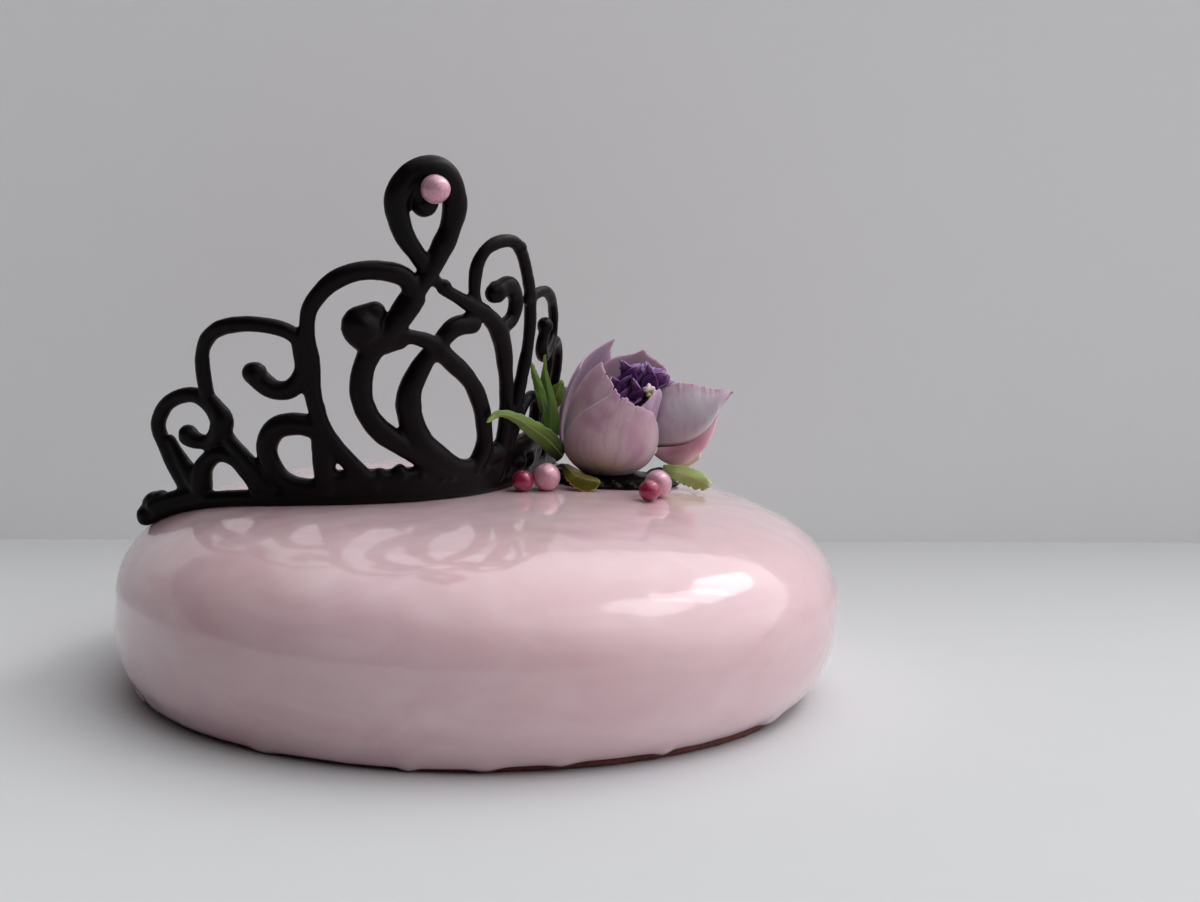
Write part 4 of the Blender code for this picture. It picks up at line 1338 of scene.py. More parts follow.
@dataclass
class Tiara:
    """The piped chocolate tiara, melted together where its lines cross."""

    mousse: Mousse
    wall: TiaraWall = TiaraWall()
    step: float = 0.7
    cell: float = 0.45
    gap: float = -0.1
    lumpiness: float = 0.12
    sway: float = 0.22
    sway_size: float = 6.0
    ropes: tuple[tuple[float, float, float, float], ...] = (
        (-73.0, 74.0, 2.05, 0.0), (-25.0, 47.0, 2.3, 4.2), (-24.0, 47.0, 2.0, 2.2), (17.0, 45.0, 2.8, 7.2),
        (-71.5, -58.0, 1.9, 2.2))
    knobs: tuple[tuple[float, float], ...] = ((-74.3, 2.6), (-71.0, 2.4))
    lumps: tuple[tuple[float, float, float, float], ...] = (
        (-18.4, 45.0, 0.3, 4.5), (-42.3, 32.6, 0.2, 2.8), (-62.0, 15.6, 0.3, 2.4), (-7.0, 75.0, -0.4, 3.4),
        (12.9, 52.3, -0.2, 2.7), (18.0, 63.0, 0.1, 1.8), (-1.4, 54.8, 0.3, 1.6),
        (34.9, 41.6, 0.4, 2.1), (-22.0, 7.2, 0.2, 1.9), (-18.5, 8.2, 0.4, 2.1), (-13.8, 7.7, 0.0, 1.9),
        (-9.0, 8.2, 0.3, 2.2), (-3.8, 7.4, 0.3, 2.0), (1.6, 6.8, 0.2, 2.1), (29.0, 7.2, 0.4, 2.8),
        (36.0, 7.0, 0.2, 2.7), (-74.0, -3.6, 0.0, 3.1), (-71.8, -2.6, 0.2, 2.7),
        (-75.6, -5.8, 0.2, 2.6), (-74.2, -6.0, 0.5, 2.5))
    finish: PipedChocolate = PipedChocolate()

    def stroke(self, clay: Clay, stroke: Stroke, seed: float) -> None:
        """Add one line of the pattern.

        Args:
            clay: Where it goes.
            stroke: The line.
            seed: Shift of its unevenness.
        """
        path = Curve(stroke.knots).run(self.step)
        sizes = Curve([(radius,) for radius in stroke.radii])
        centres, normals, radii = [], [], []
        for i, (along, up) in enumerate(path):
            along += self.sway * waver(along, up, seed, self.sway_size, 2.0)
            up += self.sway * waver(along, up, seed, self.sway_size, 5.0)
            centre, normal = self.wall.point(along, up, stroke.proud)
            centres.append(centre)
            normals.append(normal)
            swell = 1.02 + 0.1 * waver(*centre, 5.5, seed) + 0.05 * waver(*centre, 2.4, seed + 4.0)
            radii.append(sizes.at(i / (len(path) - 1))[0] * swell)
        clay.rope(centres, normals, radii)

    def rope(self, clay: Clay, first: float, last: float, radius: float, lift: float) -> None:
        """Add a line that lies along the tiara's foot.

        Args:
            clay: Where it goes.
            first: Length from the wall's middle where it starts.
            last: Length where it ends.
            radius: Its radius.
            lift: Its height over the glazed top.
        """
        count = round((last - first) / self.step)
        centres, normals, radii = [], [], []
        for i in range(count + 1):
            x, y, out = self.wall.plan(first + (last - first) * i / count)
            x += out.x * lift * math.sin(self.wall.flare)
            y += out.y * lift * math.sin(self.wall.flare)
            lump = 0.09 * waver(x, y, lift, 4.0, lift) if lift > 0 else 0.03 * waver(x, y, 0.0, 6.0)
            base = Vector((x, y, self.mousse.dome_at(x, y)))
            centres.append(base + self.mousse.normal(x, y) * (radius + self.gap + lift))
            normals.append(out)
            radii.append(radius * (1.0 + lump))
        clay.rope(centres, normals, radii, depth=1.0)

    def build(self) -> None:
        """Make the tiara."""
        clay = Clay()
        for first, last, radius, lift in self.ropes:
            self.rope(clay, first, last, radius, lift)
        for seed, stroke in enumerate(LEFT_SIDE + MIDDLE + RIGHT_SIDE):
            self.stroke(clay, stroke, seed * 1.7)
        for along, size in self.knobs:
            x, y, _ = self.wall.plan(along)
            centre = Vector((x, y, self.mousse.dome_at(x, y))) + self.mousse.normal(x, y) * (size + self.gap + 0.1)
            clay.ball(centre, (size, size, size), lumps=self.lumpiness)
        for along, up, proud, size in self.lumps:
            centre, _ = self.wall.point(along, up, proud)
            clay.ball(centre, (size, size, size), lumps=self.lumpiness)
        mesh = clay.melted("piped_tiara", self.cell, 5)
        place("piped_tiara", mesh, self.finish.make(), Slot.CHOCOLATE, ["chocolate_tiara"])


# Pearls


PINK_PEARL = PearlSugar("light_pink_pearl", Shade(200, 144, 162), Shade(214, 166, 182))
ROSE_PEARL = PearlSugar("deep_pink_pearl", Shade(148, 26, 68), Shade(168, 48, 90))


@dataclass
class Pearls:
    """The five sugar pearls."""

    mousse: Mousse
    wall: TiaraWall = TiaraWall()
    large: float = 3.5
    small: float = 2.7
    gap: float = 0.05
    top_place: tuple[float, float] = (-7.0, 79.6)
    top_proud: float = 5.9
    flatness: float = 0.985
    unevenness: float = 0.035

    def pearl(self, name: str, centre: Sequence[float], radius: float, finish: Shading, slot: Slot) -> None:
        """Make one pearl.

        Args:
            name: The node that it stands for.
            centre: Its middle.
            radius: Its radius.
            finish: Its material.
            slot: Its material slot.
        """
        clay = Clay()
        clay.ball(centre, (radius, radius, radius * self.flatness), rings=36, sides=56, lumps=self.unevenness)
        place("sugar_" + name, clay.mesh("sugar_" + name), finish, slot, [name])

    def build(self) -> None:
        """Make all the pearls."""
        pink, rose = PINK_PEARL.make(), ROSE_PEARL.make()
        top, normal = self.wall.point(*self.top_place)
        self.pearl("pearl_top", top + normal * self.top_proud, self.large, pink, Slot.PEARL_LIGHT)
        for name, x, y, radius, finish, slot in (
            ("pearl_left_light", 16.2, 4.6, self.large, pink, Slot.PEARL_LIGHT),
            ("pearl_left_deep", 10.3, 2.6, self.small, rose, Slot.PEARL_DEEP),
            ("pearl_right_light", 44.2, 1.6, self.large, pink, Slot.PEARL_LIGHT),
            ("pearl_right_deep", 42.0, -4.4, self.small, rose, Slot.PEARL_DEEP),
        ):
            self.pearl(name, (x, y, self.mousse.dome_at(x, y) + radius + self.gap), radius, finish, slot)


# Flower


MAUVE = VeinedSkin("mauve_petal", Shade(212, 198, 150), Shade(206, 178, 190), Shade(186, 146, 176),
                   Shade(182, 144, 164), base_reach=0.4, veins=22.0, vein_weight=0.45, mottle=Shade(216, 196, 196),
                   blush=Shade(184, 132, 158))
# GREY_MAUVE's dark red-brown hem is partly edge colour and partly painted shade along the seam with the under petal.
GREY_MAUVE = VeinedSkin("grey_mauve_petal", Shade(206, 194, 186), Shade(206, 194, 204), Shade(178, 124, 152),
                        Shade(182, 160, 178), tip_start=0.86, veins=15.0, vein_weight=0.45,
                        mottle=Shade(200, 196, 204), blush=Shade(190, 156, 178), hem=Shade(112, 50, 64))
LILAC = VeinedSkin("lilac_petal", Shade(176, 150, 150), Shade(178, 142, 172), Shade(190, 158, 188),
                   Shade(158, 120, 158), veins=16.0, vein_weight=0.45, mottle=Shade(192, 160, 182))
ROSE = VeinedSkin("rose_petal", Shade(224, 188, 184), Shade(228, 180, 194), Shade(214, 164, 184),
                  Shade(208, 152, 170), veins=16.0, vein_weight=0.4, mottle=Shade(228, 202, 204),
                  blush=Shade(204, 130, 156))
CREAM = VeinedSkin("cream_petal", Shade(206, 196, 160), Shade(200, 172, 188), Shade(196, 158, 180),
                   Shade(180, 146, 168), veins=14.0, vein_weight=0.3)
STRAW = VeinedSkin("straw_petal", Shade(206, 190, 150), Shade(220, 210, 190), Shade(218, 196, 184),
                   Shade(196, 176, 156), veins=14.0, vein_weight=0.3)


@dataclass(frozen=True)
class Cup:
    """The cup that the flower's outer petals lie on."""

    x: float = 31.7
    y: float = 24.0
    radius: float = 12.2
    lean: float = 7.0
    lean_height: float = 28.0
    bottom: float = 51.3
    low: float = 11.0
    high: float = 30.0
    sink: float = 0.5
    fullness: float = 2.4
    top: float = 36.0
    spill: float = 2.0

    def points(self, degrees: np.ndarray, rise: np.ndarray, layer: np.ndarray, flare: float) -> np.ndarray:
        """Points on the cup.

        Args:
            degrees: Angles round it.
            rise: Heights over its bottom.
            layer: Distances outside it.
            flare: How far its upper part opens, 0 to 1.

        Returns:
            The points, in an array with one more axis than the angles.
        """
        height = np.clip(rise, 0.0, self.top)
        over = (height - self.low) / self.high
        under = np.clip((self.low - height) / self.low, 0.0, 1.0)
        closing = 1.0 - np.sqrt(np.maximum(1.0 - over * over, 0.0))
        upper = self.radius + layer - self.radius * closing * (1.0 - flare)
        lower = (self.radius + layer) * np.maximum(1.0 - under**self.fullness, 0.0) ** (1.0 / self.fullness)
        reach = np.where(height < self.low, lower, upper) + flare * self.spill * (height / self.lean_height) ** 2
        drop = under * (self.low + self.sink + layer)
        lift = np.where(height < self.low, self.bottom + self.low - drop, self.bottom + height)
        angle = np.radians(degrees)
        x = self.x + self.lean * (height / self.lean_height) ** 3 + reach * np.cos(angle)
        return np.stack([x, self.y + reach * np.sin(angle), lift], -1)


class ThinPart(Protocol):
    """A petal or leaf that is one thin sheet and stands for one node."""

    node: str
    skin: VeinedSkin
    slot: Slot

    def grid(self) -> np.ndarray:
        """One face of the sheet, from its base to its free edge."""


def lay_sheets(prefix: str, parts: Sequence[ThinPart], thickness: float, rim: float) -> None:
    """Make thin parts, with one material for all that share a skin.

    Args:
        prefix: Start of the pieces' names.
        parts: The petals or leaves.
        thickness: Their thickness.
        rim: Share of the thickness that is left at their free edges.
    """
    skins: dict[str, Shading] = {}
    for part in parts:
        if part.skin.name not in skins:
            skins[part.skin.name] = part.skin.make()
        clay = Clay()
        clay.sheet(part.grid(), thickness, rim)
        name = prefix + part.node
        place(name, clay.mesh(name), skins[part.skin.name], part.slot, [part.node])


@dataclass(frozen=True)
class CupPetal:
    """A petal that lies on the cup. Its rim holds angle and height pairs."""

    node: str
    rim: tuple[tuple[float, float], ...]
    layer: float
    skin: VeinedSkin
    slot: Slot
    flare: float = 0.0
    base: float = 1.2
    wave: float = 0.25
    teeth: tuple[tuple[float, float, float], ...] = ()
    lap: tuple[tuple[float, float], ...] = ()
    lap_step: float = 1.1
    lap_softness: float = 0.09
    lap_sink: float = 0.7
    pleat: float = 0.05
    tear: float = 0.16
    fray: float = 0.1
    foot_width: float = 0.72
    foot_gain: float = 0.28
    rows: int = 60
    cols: int = 90
    cup: Cup = Cup()

    def edge(self, degrees: float) -> float:
        """Height of the free edge at an angle, with its small torn teeth.

        Args:
            degrees: Angle round the cup.

        Returns:
            Its height over the cup's bottom.
        """
        places = [angle for angle, _ in self.rim]
        heights = [height for _, height in self.rim]
        near = [degrees + off for off in (-2.4, -1.2, 0.0, 1.2, 2.4)]
        height = float(np.mean(np.interp(near, places, heights)))
        for middle, width, depth in self.teeth:
            height += depth * max(0.0, 1.0 - abs(degrees - middle) / width)
        height += self.tear * waver(degrees, self.layer * 10.0, 0.0, 3.1)
        return height + self.fray * waver(degrees, 5.0, 0.0, 1.3)

    def grid(self) -> np.ndarray:
        """The petal's inner face, from its base to its rim.

        Returns:
            The points, in rows.
        """
        first, last = self.rim[0][0], self.rim[-1][0]
        s = np.linspace(0.0, 1.0, self.cols)[None, :]
        t = np.linspace(0.0, 1.0, self.rows)[:, None]
        edge = np.array([self.edge(first + (last - first) * share) for share in s[0]])[None, :]
        middle = (first + last) / 2
        spread = self.foot_width + self.foot_gain * np.minimum(t * 2.5, 1.0)
        degrees = middle + (first + (last - first) * s - middle) * spread
        rise = self.base + (edge - self.base) * t**1.15
        curl = self.wave * np.sin(s * 9.0 + self.layer) * t * t
        pleat = self.pleat * np.sin(s * 29.0 + 3.0 * np.sin(t * 3.0)) * t * (1.0 - t) * 2.0
        layer = self.layer + curl + pleat
        if self.lap:
            border = np.interp(degrees, [angle for angle, _ in self.lap], [height for _, height in self.lap])
            layer = layer + self.lap_step / (1.0 + np.exp((rise - border) / self.lap_softness)) - self.lap_sink
        return self.cup.points(degrees, rise, layer, self.flare)


CUP_PETALS = (
    CupPetal("petal_front", ((197, 25), (204, 28.5), (226, 26.5), (248, 24), (263, 21.5), (286, 18.7), (316, 16.1),
                             (332, 12), (343, 7)), 1.2, MAUVE, Slot.PETAL, base=0.12, cols=240, rows=110,
             lap=((190, 0), (204, 6), (213, 10.5), (223, 14), (234, 16.5), (246, 18.6), (256, 20.4), (264, 24),
                  (350, 40)),
             teeth=((232, 2.0, -0.9), (244, 1.6, 0.7), (256, 1.5, -1.0), (262, 1.3, 0.6), (270, 1.6, -0.9),
                    (277, 1.4, 0.7), (290, 1.8, -0.8), (300, 1.4, 0.5))),
    CupPetal("petal_left", ((150, 19), (172, 21), (186, 18), (192, 12)), 2.4, LILAC, Slot.PETAL, flare=0.75,
             base=8.0),
    CupPetal("petal_back_left", ((104, 24.5), (116, 27), (127, 29.5), (137, 32.8), (146, 31.6), (165, 29),
                                 (187, 26)), 0.9, LILAC, Slot.PETAL, flare=0.75, base=0.8),
    CupPetal("petal_back", ((18, 20), (35, 25), (50, 26), (75, 28), (88, 29.6), (95, 28.3), (118, 27.5), (132, 25)),
             -0.5, CREAM, Slot.PETAL_PALE, flare=0.55, base=1.6, cols=120),
    CupPetal("petal_inner", ((302, 17), (320, 20.5), (334, 21.5), (347, 19.5)), -0.6, LILAC, Slot.PETAL_PALE,
             flare=0.1, base=1.6),
)


@dataclass(frozen=True)
class EdgePetal:
    """A cupped petal between two edge curves."""

    node: str
    lower: Knots
    upper: Knots
    bulge: tuple[float, float, float]
    skin: VeinedSkin
    slot: Slot
    crimp: float = 0.2
    ragged: float = 0.15
    rows: int = 60
    cols: int = 80

    def grid(self) -> np.ndarray:
        """The petal's front face, from its lower edge to its upper edge.

        Returns:
            The points, in rows.
        """
        low_edge, high_edge = Curve(self.lower), Curve(self.upper)
        bulge = Vector(self.bulge)
        rows = []
        for t in np.linspace(0.0, 1.0, self.rows):
            row = []
            for s in np.linspace(0.0, 1.0, self.cols):
                low, high = Vector(low_edge.at(s)), Vector(high_edge.at(s))
                swell = 4 * t * (1 - t) * math.sin(math.pi * (0.12 + 0.8 * s))
                point = low.lerp(high, t) + bulge * swell
                point += bulge.normalized() * self.crimp * math.sin(9.0 * s + 2.0 * t) * t * t
                tear = waver(s * 60.0, 0.0, 0.0, 4.0, 1.0) + 0.7 * waver(s * 60.0, 3.0, 0.0, 1.5)
                point.z += self.ragged * tear * t**14
                lift = 0.25 * waver(*point, 5.0, 2.0) * t + 0.5 * tear * self.ragged * t**9
                row.append(point + bulge.normalized() * lift)
            rows.append(row)
        return np.array(rows)


EDGE_PETALS = (
    EdgePetal("petal_right",
              [(40.8, 25.6, 56.2), (44.6, 23.0, 57.0), (50.2, 19.5, 58.2), (54, 18, 60.1), (57, 18, 63),
               (59.3, 19, 67.3), (61.5, 20, 71)],
              [(41.6, 26.0, 71.0), (45.4, 24.8, 72.8), (50, 24, 74), (54.6, 22.5, 73.8), (58, 21.3, 73.2),
               (60.5, 20.5, 73.2), (62.9, 20, 72.6)],
              (0.5, -5.0, -1.0), GREY_MAUVE, Slot.PETAL, crimp=0.28, ragged=0.3, cols=130),
    EdgePetal("petal_under",
              [(43.3, 24.8, 54.8), (46.6, 22.8, 53), (50, 21.5, 52.7), (54, 21.5, 55), (57.2, 22, 58.4),
               (59, 23, 62.7), (59.6, 24.5, 67)],
              [(44.5, 28, 58), (48, 28.5, 62), (51, 28.5, 66), (54, 28, 68.5), (56.5, 27.5, 70), (58.5, 27, 70),
               (60.2, 26, 69.5)], (0.5, -3.0, -1.2), ROSE, Slot.PETAL_ROSE),
    EdgePetal("petal_pale", [(45, 32, 53.5), (48.5, 31.5, 51.4), (52, 31, 50.6), (55.5, 30.5, 53)],
              [(45.5, 34, 56), (49, 34, 57), (53, 33.5, 57.2), (56, 32.5, 56)], (0.3, -1.2, -0.6), STRAW,
              Slot.PETAL_PALE, rows=30, cols=40),
)


@dataclass(frozen=True)
class Floret:
    """A small bloom of broad, pointed and ruffled petals that narrow to one foot."""

    centre: tuple[float, float, float]
    foot: tuple[float, float, float]
    size: float
    petals: int
    phase: float
    rows: int = 20
    cols: int = 17

    def grid(self, number: int) -> np.ndarray:
        """The inner face of one petal, from its foot to its tip.

        Args:
            number: Which petal it is.

        Returns:
            The points, in rows.
        """
        centre, foot = Vector(self.centre), Vector(self.foot)
        axis = (centre - foot).normalized()
        side = axis.orthogonal().normalized()
        turn = self.phase + TURN * number / self.petals
        out = side * math.cos(turn) + axis.cross(side) * math.sin(turn)
        over = axis.cross(out)
        length = (centre - foot).length
        tall = 1.0 + 0.22 * math.sin(number * 2.7 + self.phase * 5.0)
        rows = []
        for t in np.linspace(0.0, 1.0, self.rows):
            half = self.size * (0.16 + 0.66 * math.sin(math.pi * min(t, 1.0) ** 1.5) ** 0.8)
            reach = self.size * (0.12 + 0.9 * t**2.0)
            lift = self.size * (0.1 + 0.45 * (tall - 1.0)) * t - length * 0.9 * (1.0 - t) ** 1.2
            row = []
            for s in np.linspace(-1.0, 1.0, self.cols):
                frill = 0.13 * self.size * math.sin(6.5 * s + 7.0 * t + turn * 3.0) * t * t
                cupped = 0.3 * half * s * s
                row.append(centre + out * (reach - cupped + 0.6 * frill) + over * half * s + axis * (lift + frill))
            rows.append(row)
        return np.array(rows)


@dataclass
class Flower:
    """The open flower: its petals and its ruffled purple heart, with painted shade and painted highlights on the
    florets.
    """

    petal_thickness: float = 0.8
    petal_rim: float = 0.25
    floret_thickness: float = 0.3
    stamen_tip: tuple[float, float, float] = (0.62, 0.55, 0.45)
    bud_size: tuple[float, float, float] = (0.75, 0.7, 0.6)
    florets: tuple[Floret, ...] = (
        Floret((38.0, 26.4, 77.0), (36.2, 25.0, 66.0), 4.6, 5, 0.4),
        Floret((44.0, 25.9, 75.8), (37.5, 25.0, 65.0), 4.4, 5, 1.9),
        Floret((40.2, 21.8, 73.4), (36.0, 23.5, 64.0), 3.9, 4, 3.0),
        Floret((33.9, 25.2, 74.4), (34.8, 24.6, 64.0), 3.8, 4, 0.2),
        Floret((36.2, 19.6, 70.4), (35.2, 22.5, 62.0), 3.4, 4, 2.2),
    )
    # Painted light in the florets' skin: the near-black base colour is painted shade in the hollows between the
    # florets and under the core, and the lilac tip colour is a painted highlight on the petal edges; the purple body
    # colour is their own.
    floret_skin_with_painted_light: VeinedSkin = VeinedSkin("purple_floret", Shade(20, 5, 18), Shade(104, 54, 126),
                                         Shade(164, 124, 182), Shade(54, 20, 66), base_reach=0.66,
                                         tip_start=0.8, veins=7.0)
    stamen_skin: VeinedSkin = VeinedSkin("pale_stamen", Shade(206, 176, 160), Shade(226, 208, 206),
                                         Shade(240, 232, 232), Shade(214, 188, 180), veins=4.0, vein_weight=0.2)
    bud_skin: VeinedSkin = VeinedSkin("green_bud", Shade(150, 160, 66), Shade(176, 180, 86), Shade(196, 196, 120),
                                      Shade(160, 168, 76), veins=4.0, vein_weight=0.2)
    stamen_places: tuple[tuple[float, float, float, float], ...] = (
        (36.9, 16.6, 69.0, 0.6), (38.2, 16.3, 68.2, -0.3), (39.3, 16.8, 67.6, 0.4), (40.4, 17.0, 67.0, -0.6),
        (41.2, 17.6, 66.4, 0.2), (35.8, 17.0, 70.2, 0.5))
    scraps: tuple[tuple[tuple[float, float, float], tuple[float, float, float], float], ...] = (
        ((41.4, 18.2, 72.9), (1.3, 0.5, 1.0), 0.3), ((42.8, 18.6, 72.0), (0.8, 0.4, 0.7), 0.9))
    bud: tuple[float, float, float] = (41.6, 17.8, 71.3)
    core: tuple[float, float, float] = (35.4, 24.2, 64.0)
    core_size: tuple[float, float, float] = (6.8, 6.2, 6.6)

    def petals(self) -> None:
        """Make every petal."""
        lay_sheets("flower_", (*CUP_PETALS, *EDGE_PETALS), self.petal_thickness, self.petal_rim)

    def heart(self) -> None:
        """Make the purple florets on their core, near-black with painted shade at their feet and lilac with painted
        highlights at their tips.
        """
        clay = Clay()
        for floret in self.florets:
            for number in range(floret.petals):
                clay.sheet(floret.grid(number), self.floret_thickness)
        clay.ball(self.core, self.core_size, lumps=0.25)
        place("flower_florets", clay.mesh("flower_florets"), self.floret_skin_with_painted_light.make(), Slot.FLORET, ["flower_heart"])

    def stamens(self) -> None:
        """Make the pale scraps and short stamens between the florets."""
        clay = Clay()
        for x, y, z, lean in self.stamen_places:
            tip = Vector((x, y, z))
            base = tip - Vector((lean * 0.5, -1.0, 3.2))
            path = [base.lerp(tip, i / 6) for i in range(7)]
            clay.rope(path, [Vector((0.0, -1.0, 0.3))] * 7, [0.28 + 0.03 * i for i in range(7)], 10)
            clay.ball(tip, self.stamen_tip, rings=10, sides=14, lumps=0.3)
        for centre, size, turn in self.scraps:
            clay.ball(centre, size, turn, rings=12, sides=20, lumps=0.9)
        place("flower_stamens", clay.mesh("flower_stamens"), self.stamen_skin.make(), Slot.PETAL_PALE, [])
        clay = Clay()
        clay.ball(self.bud, self.bud_size, rings=12, sides=18, lumps=0.4)
        place("flower_bud", clay.mesh("flower_bud"), self.bud_skin.make(), Slot.LEAF_GREEN, [])

    def build(self) -> None:
        """Make the whole flower."""
        self.petals()
        self.heart()
        self.stamens()


# Leaves, and the chocolate under the flower that is partly painted shade


# The near-black base colours of LIGHT_LEAF and DARK_LEAF are partly the leaves' deeper green and partly painted
# shade, where the blades go in under the flower and its petals.
LIGHT_LEAF = VeinedSkin("light_green_leaf", Shade(34, 40, 16), Shade(98, 126, 50), Shade(168, 190, 112),
                        Shade(132, 158, 80), base_reach=0.46, tip_start=0.84, veins=16.0, vein_weight=0.45,
                        midrib=0.75, roughness=0.45, sheen=0.1)
DARK_LEAF = VeinedSkin("mid_green_leaf", Shade(30, 44, 16), Shade(84, 118, 40), Shade(128, 156, 66),
                       Shade(110, 142, 60), base_reach=0.3, tip_start=0.8, veins=16.0, vein_weight=0.4,
                       midrib=0.6, roughness=0.45, sheen=0.1)
# OLIVE_LEAF's near-black base and deep olive body are partly the leaf's own colour and partly painted shade in the
# cupped blade's hollow; the pale border runs along its side edges.
OLIVE_LEAF = VeinedSkin("olive_leaf", Shade(40, 36, 4), Shade(86, 80, 12), Shade(150, 142, 66),
                        Shade(110, 104, 28), base_reach=0.4, tip_start=0.85, veins=10.0, vein_weight=0.35,
                        midrib=0.2, roughness=0.35, sheen=0.05, border=Shade(186, 174, 112))
FRESH_LEAF = VeinedSkin("fresh_green_leaf", Shade(96, 116, 50), Shade(176, 192, 116), Shade(204, 210, 150),
                        Shade(196, 206, 144), base_reach=0.3, tip_start=0.84, veins=10.0, vein_weight=0.4,
                        midrib=0.35, roughness=0.45, sheen=0.1)


@dataclass(frozen=True)
class Leaf:
    """A narrow blade along a curve, folded in a shallow V."""

    node: str
    middle: Knots
    widths: tuple[float, ...]
    side: tuple[float, float, float]
    fold: float
    skin: VeinedSkin
    slot: Slot = Slot.LEAF_GREEN
    torn: float = 0.06
    round_end: float = 0.3
    rows: int = 90
    cols: int = 25

    def grid(self) -> np.ndarray:
        """The blade's face, from its base to its tip.

        Returns:
            The points, in rows.
        """
        curve, width = Curve(self.middle), Curve([(w,) for w in self.widths])
        side = Vector(self.side).normalized()
        rows = []
        for t in np.linspace(0.0, 1.0, self.rows):
            centre = Vector(curve.at(t))
            along = (Vector(curve.at(min(t + 0.02, 1.0))) - Vector(curve.at(max(t - 0.02, 0.0)))).normalized()
            across = (side - along * side.dot(along)).normalized()
            deep = along.cross(across)
            point = math.sqrt(min((1.0 - t) / self.round_end + 0.01, 1.0))
            half = width.at(t)[0] / 2 * point * (1.0 + 0.05 * math.sin(t * 60.0) * (0.3 + t))
            row = []
            for s in np.linspace(-1.0, 1.0, self.cols):
                ripple = 0.12 * half * math.sin(7.0 * t + 2.0 * s) + 0.1 * abs(s) * math.sin(23.0 * t + 3.0 * s)
                bend = self.fold * (abs(s) ** 1.3) * half
                frayed = self.torn * abs(s) ** 3 * (0.25 + t) * waver(t * 60.0, 9.0 * (s > 0), 0.0, 3.6, 3.0)
                row.append(centre + across * (half + 1.6 * frayed) * s + deep * (bend + ripple + frayed))
            rows.append(row)
        return np.array(rows)


LEAVES = (
    Leaf("leaf_curled", [(20.0, 18.0, 54.7), (18.4, 14.6, 57.5), (15.7, 9.6, 60.9), (12.1, 3.6, 64.5),
                         (8.7, -2.4, 67.7), (4.8, -7.2, 69.3), (1.8, -9.2, 67.5)],
         (3.6, 5.0, 5.0, 4.2, 2.8, 1.8, 2.3), (0.45, -0.2, 1.0), 0.3, LIGHT_LEAF, torn=0.12, round_end=0.12),
    Leaf("leaf_upright", [(16.3, 18.0, 59.0), (16.8, 17.6, 63.3), (16.2, 16.6, 70.0), (15.1, 15.2, 76.2),
                          (15.05, 12.6, 81.5)], (4.4, 4.8, 3.4, 2.0, 0.9), (1.0, 0.15, 0.0), 0.35, DARK_LEAF),
    Leaf("leaf_short", [(15.2, 11.4, 67.4), (14.0, 11.4, 72.3), (12.7, 11.4, 76.3), (11.5, 11.4, 80.1)],
         (2.4, 2.6, 2.0, 1.3), (1.0, 0.1, 0.1), 0.3, DARK_LEAF, rows=60),
    Leaf("leaf_side", [(16.6, 20.4, 66.2), (17.6, 20.0, 69.2), (18.4, 19.2, 71.8), (19.4, 18.0, 74.4)],
         (2.4, 4.2, 3.8, 1.2), (1.0, 0.2, -0.6), 0.2, LIGHT_LEAF, torn=0.2, rows=60),
    Leaf("leaf_cupped", [(20.6, 8.6, 54.3), (22.8, 6.4, 52.9), (26.2, 4.9, 51.4), (29.8, 4.6, 51.0)],
         (2.0, 4.8, 5.8, 4.6), (0.1, -0.75, -0.65), 0.5, OLIVE_LEAF, Slot.LEAF_OLIVE, rows=60),
    Leaf("leaf_right", [(45.6, 19.8, 51.9), (49.6, 18.4, 51.5), (53.8, 16.2, 50.4), (57.6, 13.6, 48.9)],
         (2.8, 4.8, 5.2, 4.2), (0.3, -0.6, -0.75), 0.25, FRESH_LEAF, torn=0.4, rows=90),
)


@dataclass
class Leaves:
    """The green blades round the flower."""

    thickness: float = 0.6
    rim: float = 0.4

    def build(self) -> None:
        """Make every leaf."""
        lay_sheets("green_", LEAVES, self.thickness, self.rim)


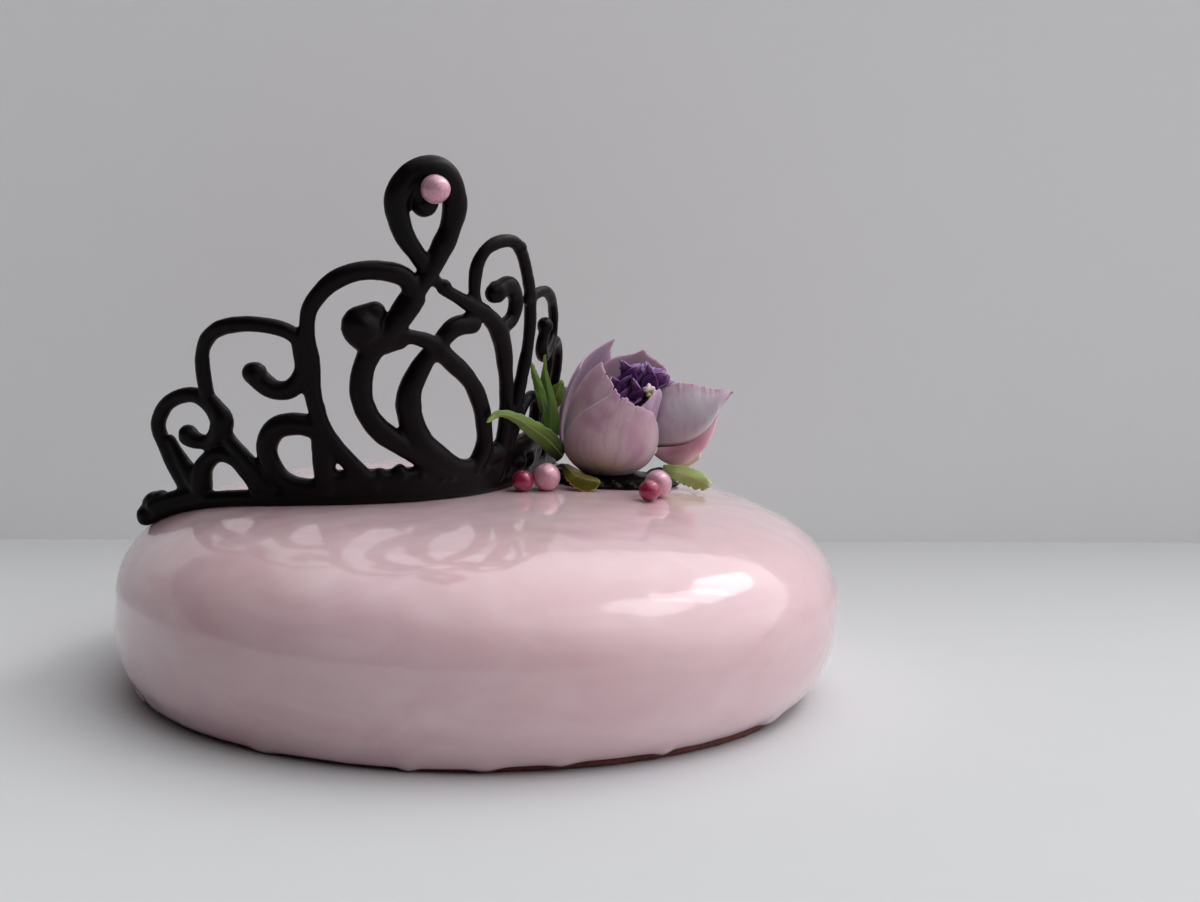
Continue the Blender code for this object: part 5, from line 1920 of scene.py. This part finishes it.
@dataclass
class Puddle:
    """The thin set chocolate that holds the flower; its dark bulk under the flower is partly painted shade."""

    mousse: Mousse
    x: float = 33.5
    y: float = 20.5
    half_x: float = 16.0
    half_y: float = 12.5
    segments: int = 160
    gap: float = 0.1
    mound: tuple[float, float, float] = (33.0, 22.0, 48.8)
    mound_size: tuple[float, float, float] = (13.2, 9.6, 2.2)
    waves: Triples = ((0.05, 3, 0.5), (0.03, 5, 0.0))
    levels: tuple[tuple[float, float], ...] = (
        (0.0, 0.3), (0.0, 0.92), (0.2, 0.985), (0.5, 1.0), (0.8, 0.98), (1.0, 0.93), (1.1, 0.84), (1.18, 0.6),
        (1.2, 0.3))
    cell: float = 0.35
    edge_ripple: float = 0.015
    top_ripple: float = 0.12
    # The drops along the front edge and the mound thicken the dark mass under the flower: partly set chocolate,
    # partly painted shade.
    drops: tuple[tuple[float, float, float], ...] = (
        (22.0, 13.6, 1.7), (25.4, 11.4, 1.5), (29.0, 10.2, 1.9), (33.2, 9.6, 1.6), (37.0, 10.0, 1.8),
        (40.6, 11.4, 1.5), (44.0, 13.4, 1.9), (46.4, 16.4, 1.5),
        (19.8, 19.0, 4.2), (17.6, 15.6, 2.4), (44.4, 22.0, 3.7))
    finish: PipedChocolate = PipedChocolate("puddle_chocolate", Shade(7, 4, 5), Shade(15, 9, 10), 0.26)

    def build(self) -> None:
        """Make the puddle."""
        rings = []
        for lift, shrink in self.levels:
            ring = []
            for angle in around(self.segments):
                wave = swing(angle, self.waves, 1.0)
                wave += self.edge_ripple * waver(10 * math.cos(angle), 10 * math.sin(angle), 0.0, 3.0)
                x = self.x + self.half_x * wave * shrink * math.cos(angle)
                y = self.y + self.half_y * wave * shrink * math.sin(angle)
                lump = self.top_ripple * waver(x, y, 0.0, 3.0) if lift > 0.9 else 0.0
                ring.append((x, y, self.mousse.dome_at(x, y) + self.gap + lift + lump))
            rings.append(ring)
        clay = Clay()
        clay.skin(np.array(rings))
        for x, y, size in self.drops:
            clay.ball((x, y, self.mousse.dome_at(x, y) + self.gap + 0.9), (size, size, size * 0.8), lumps=0.3)
        clay.ball(self.mound, self.mound_size, lumps=0.2)
        mesh = clay.melted("chocolate_puddle_and_shade", self.cell, 3)
        place("chocolate_puddle_and_shade", mesh, self.finish.make(), Slot.CHOCOLATE, ["chocolate_seat"])


def main() -> None:
    """Build and dress the whole cake, in order."""
    logging.basicConfig(level=logging.INFO, format="%(name)s %(message)s")
    Studio().build()
    mousse = Mousse()
    for part in (mousse, Biscuit(), Tiara(mousse), Pearls(mousse), Puddle(mousse), Flower(), Leaves()):
        part.build()
        log.info("built %s", type(part).__name__)


if __name__ == "__main__":
    main()
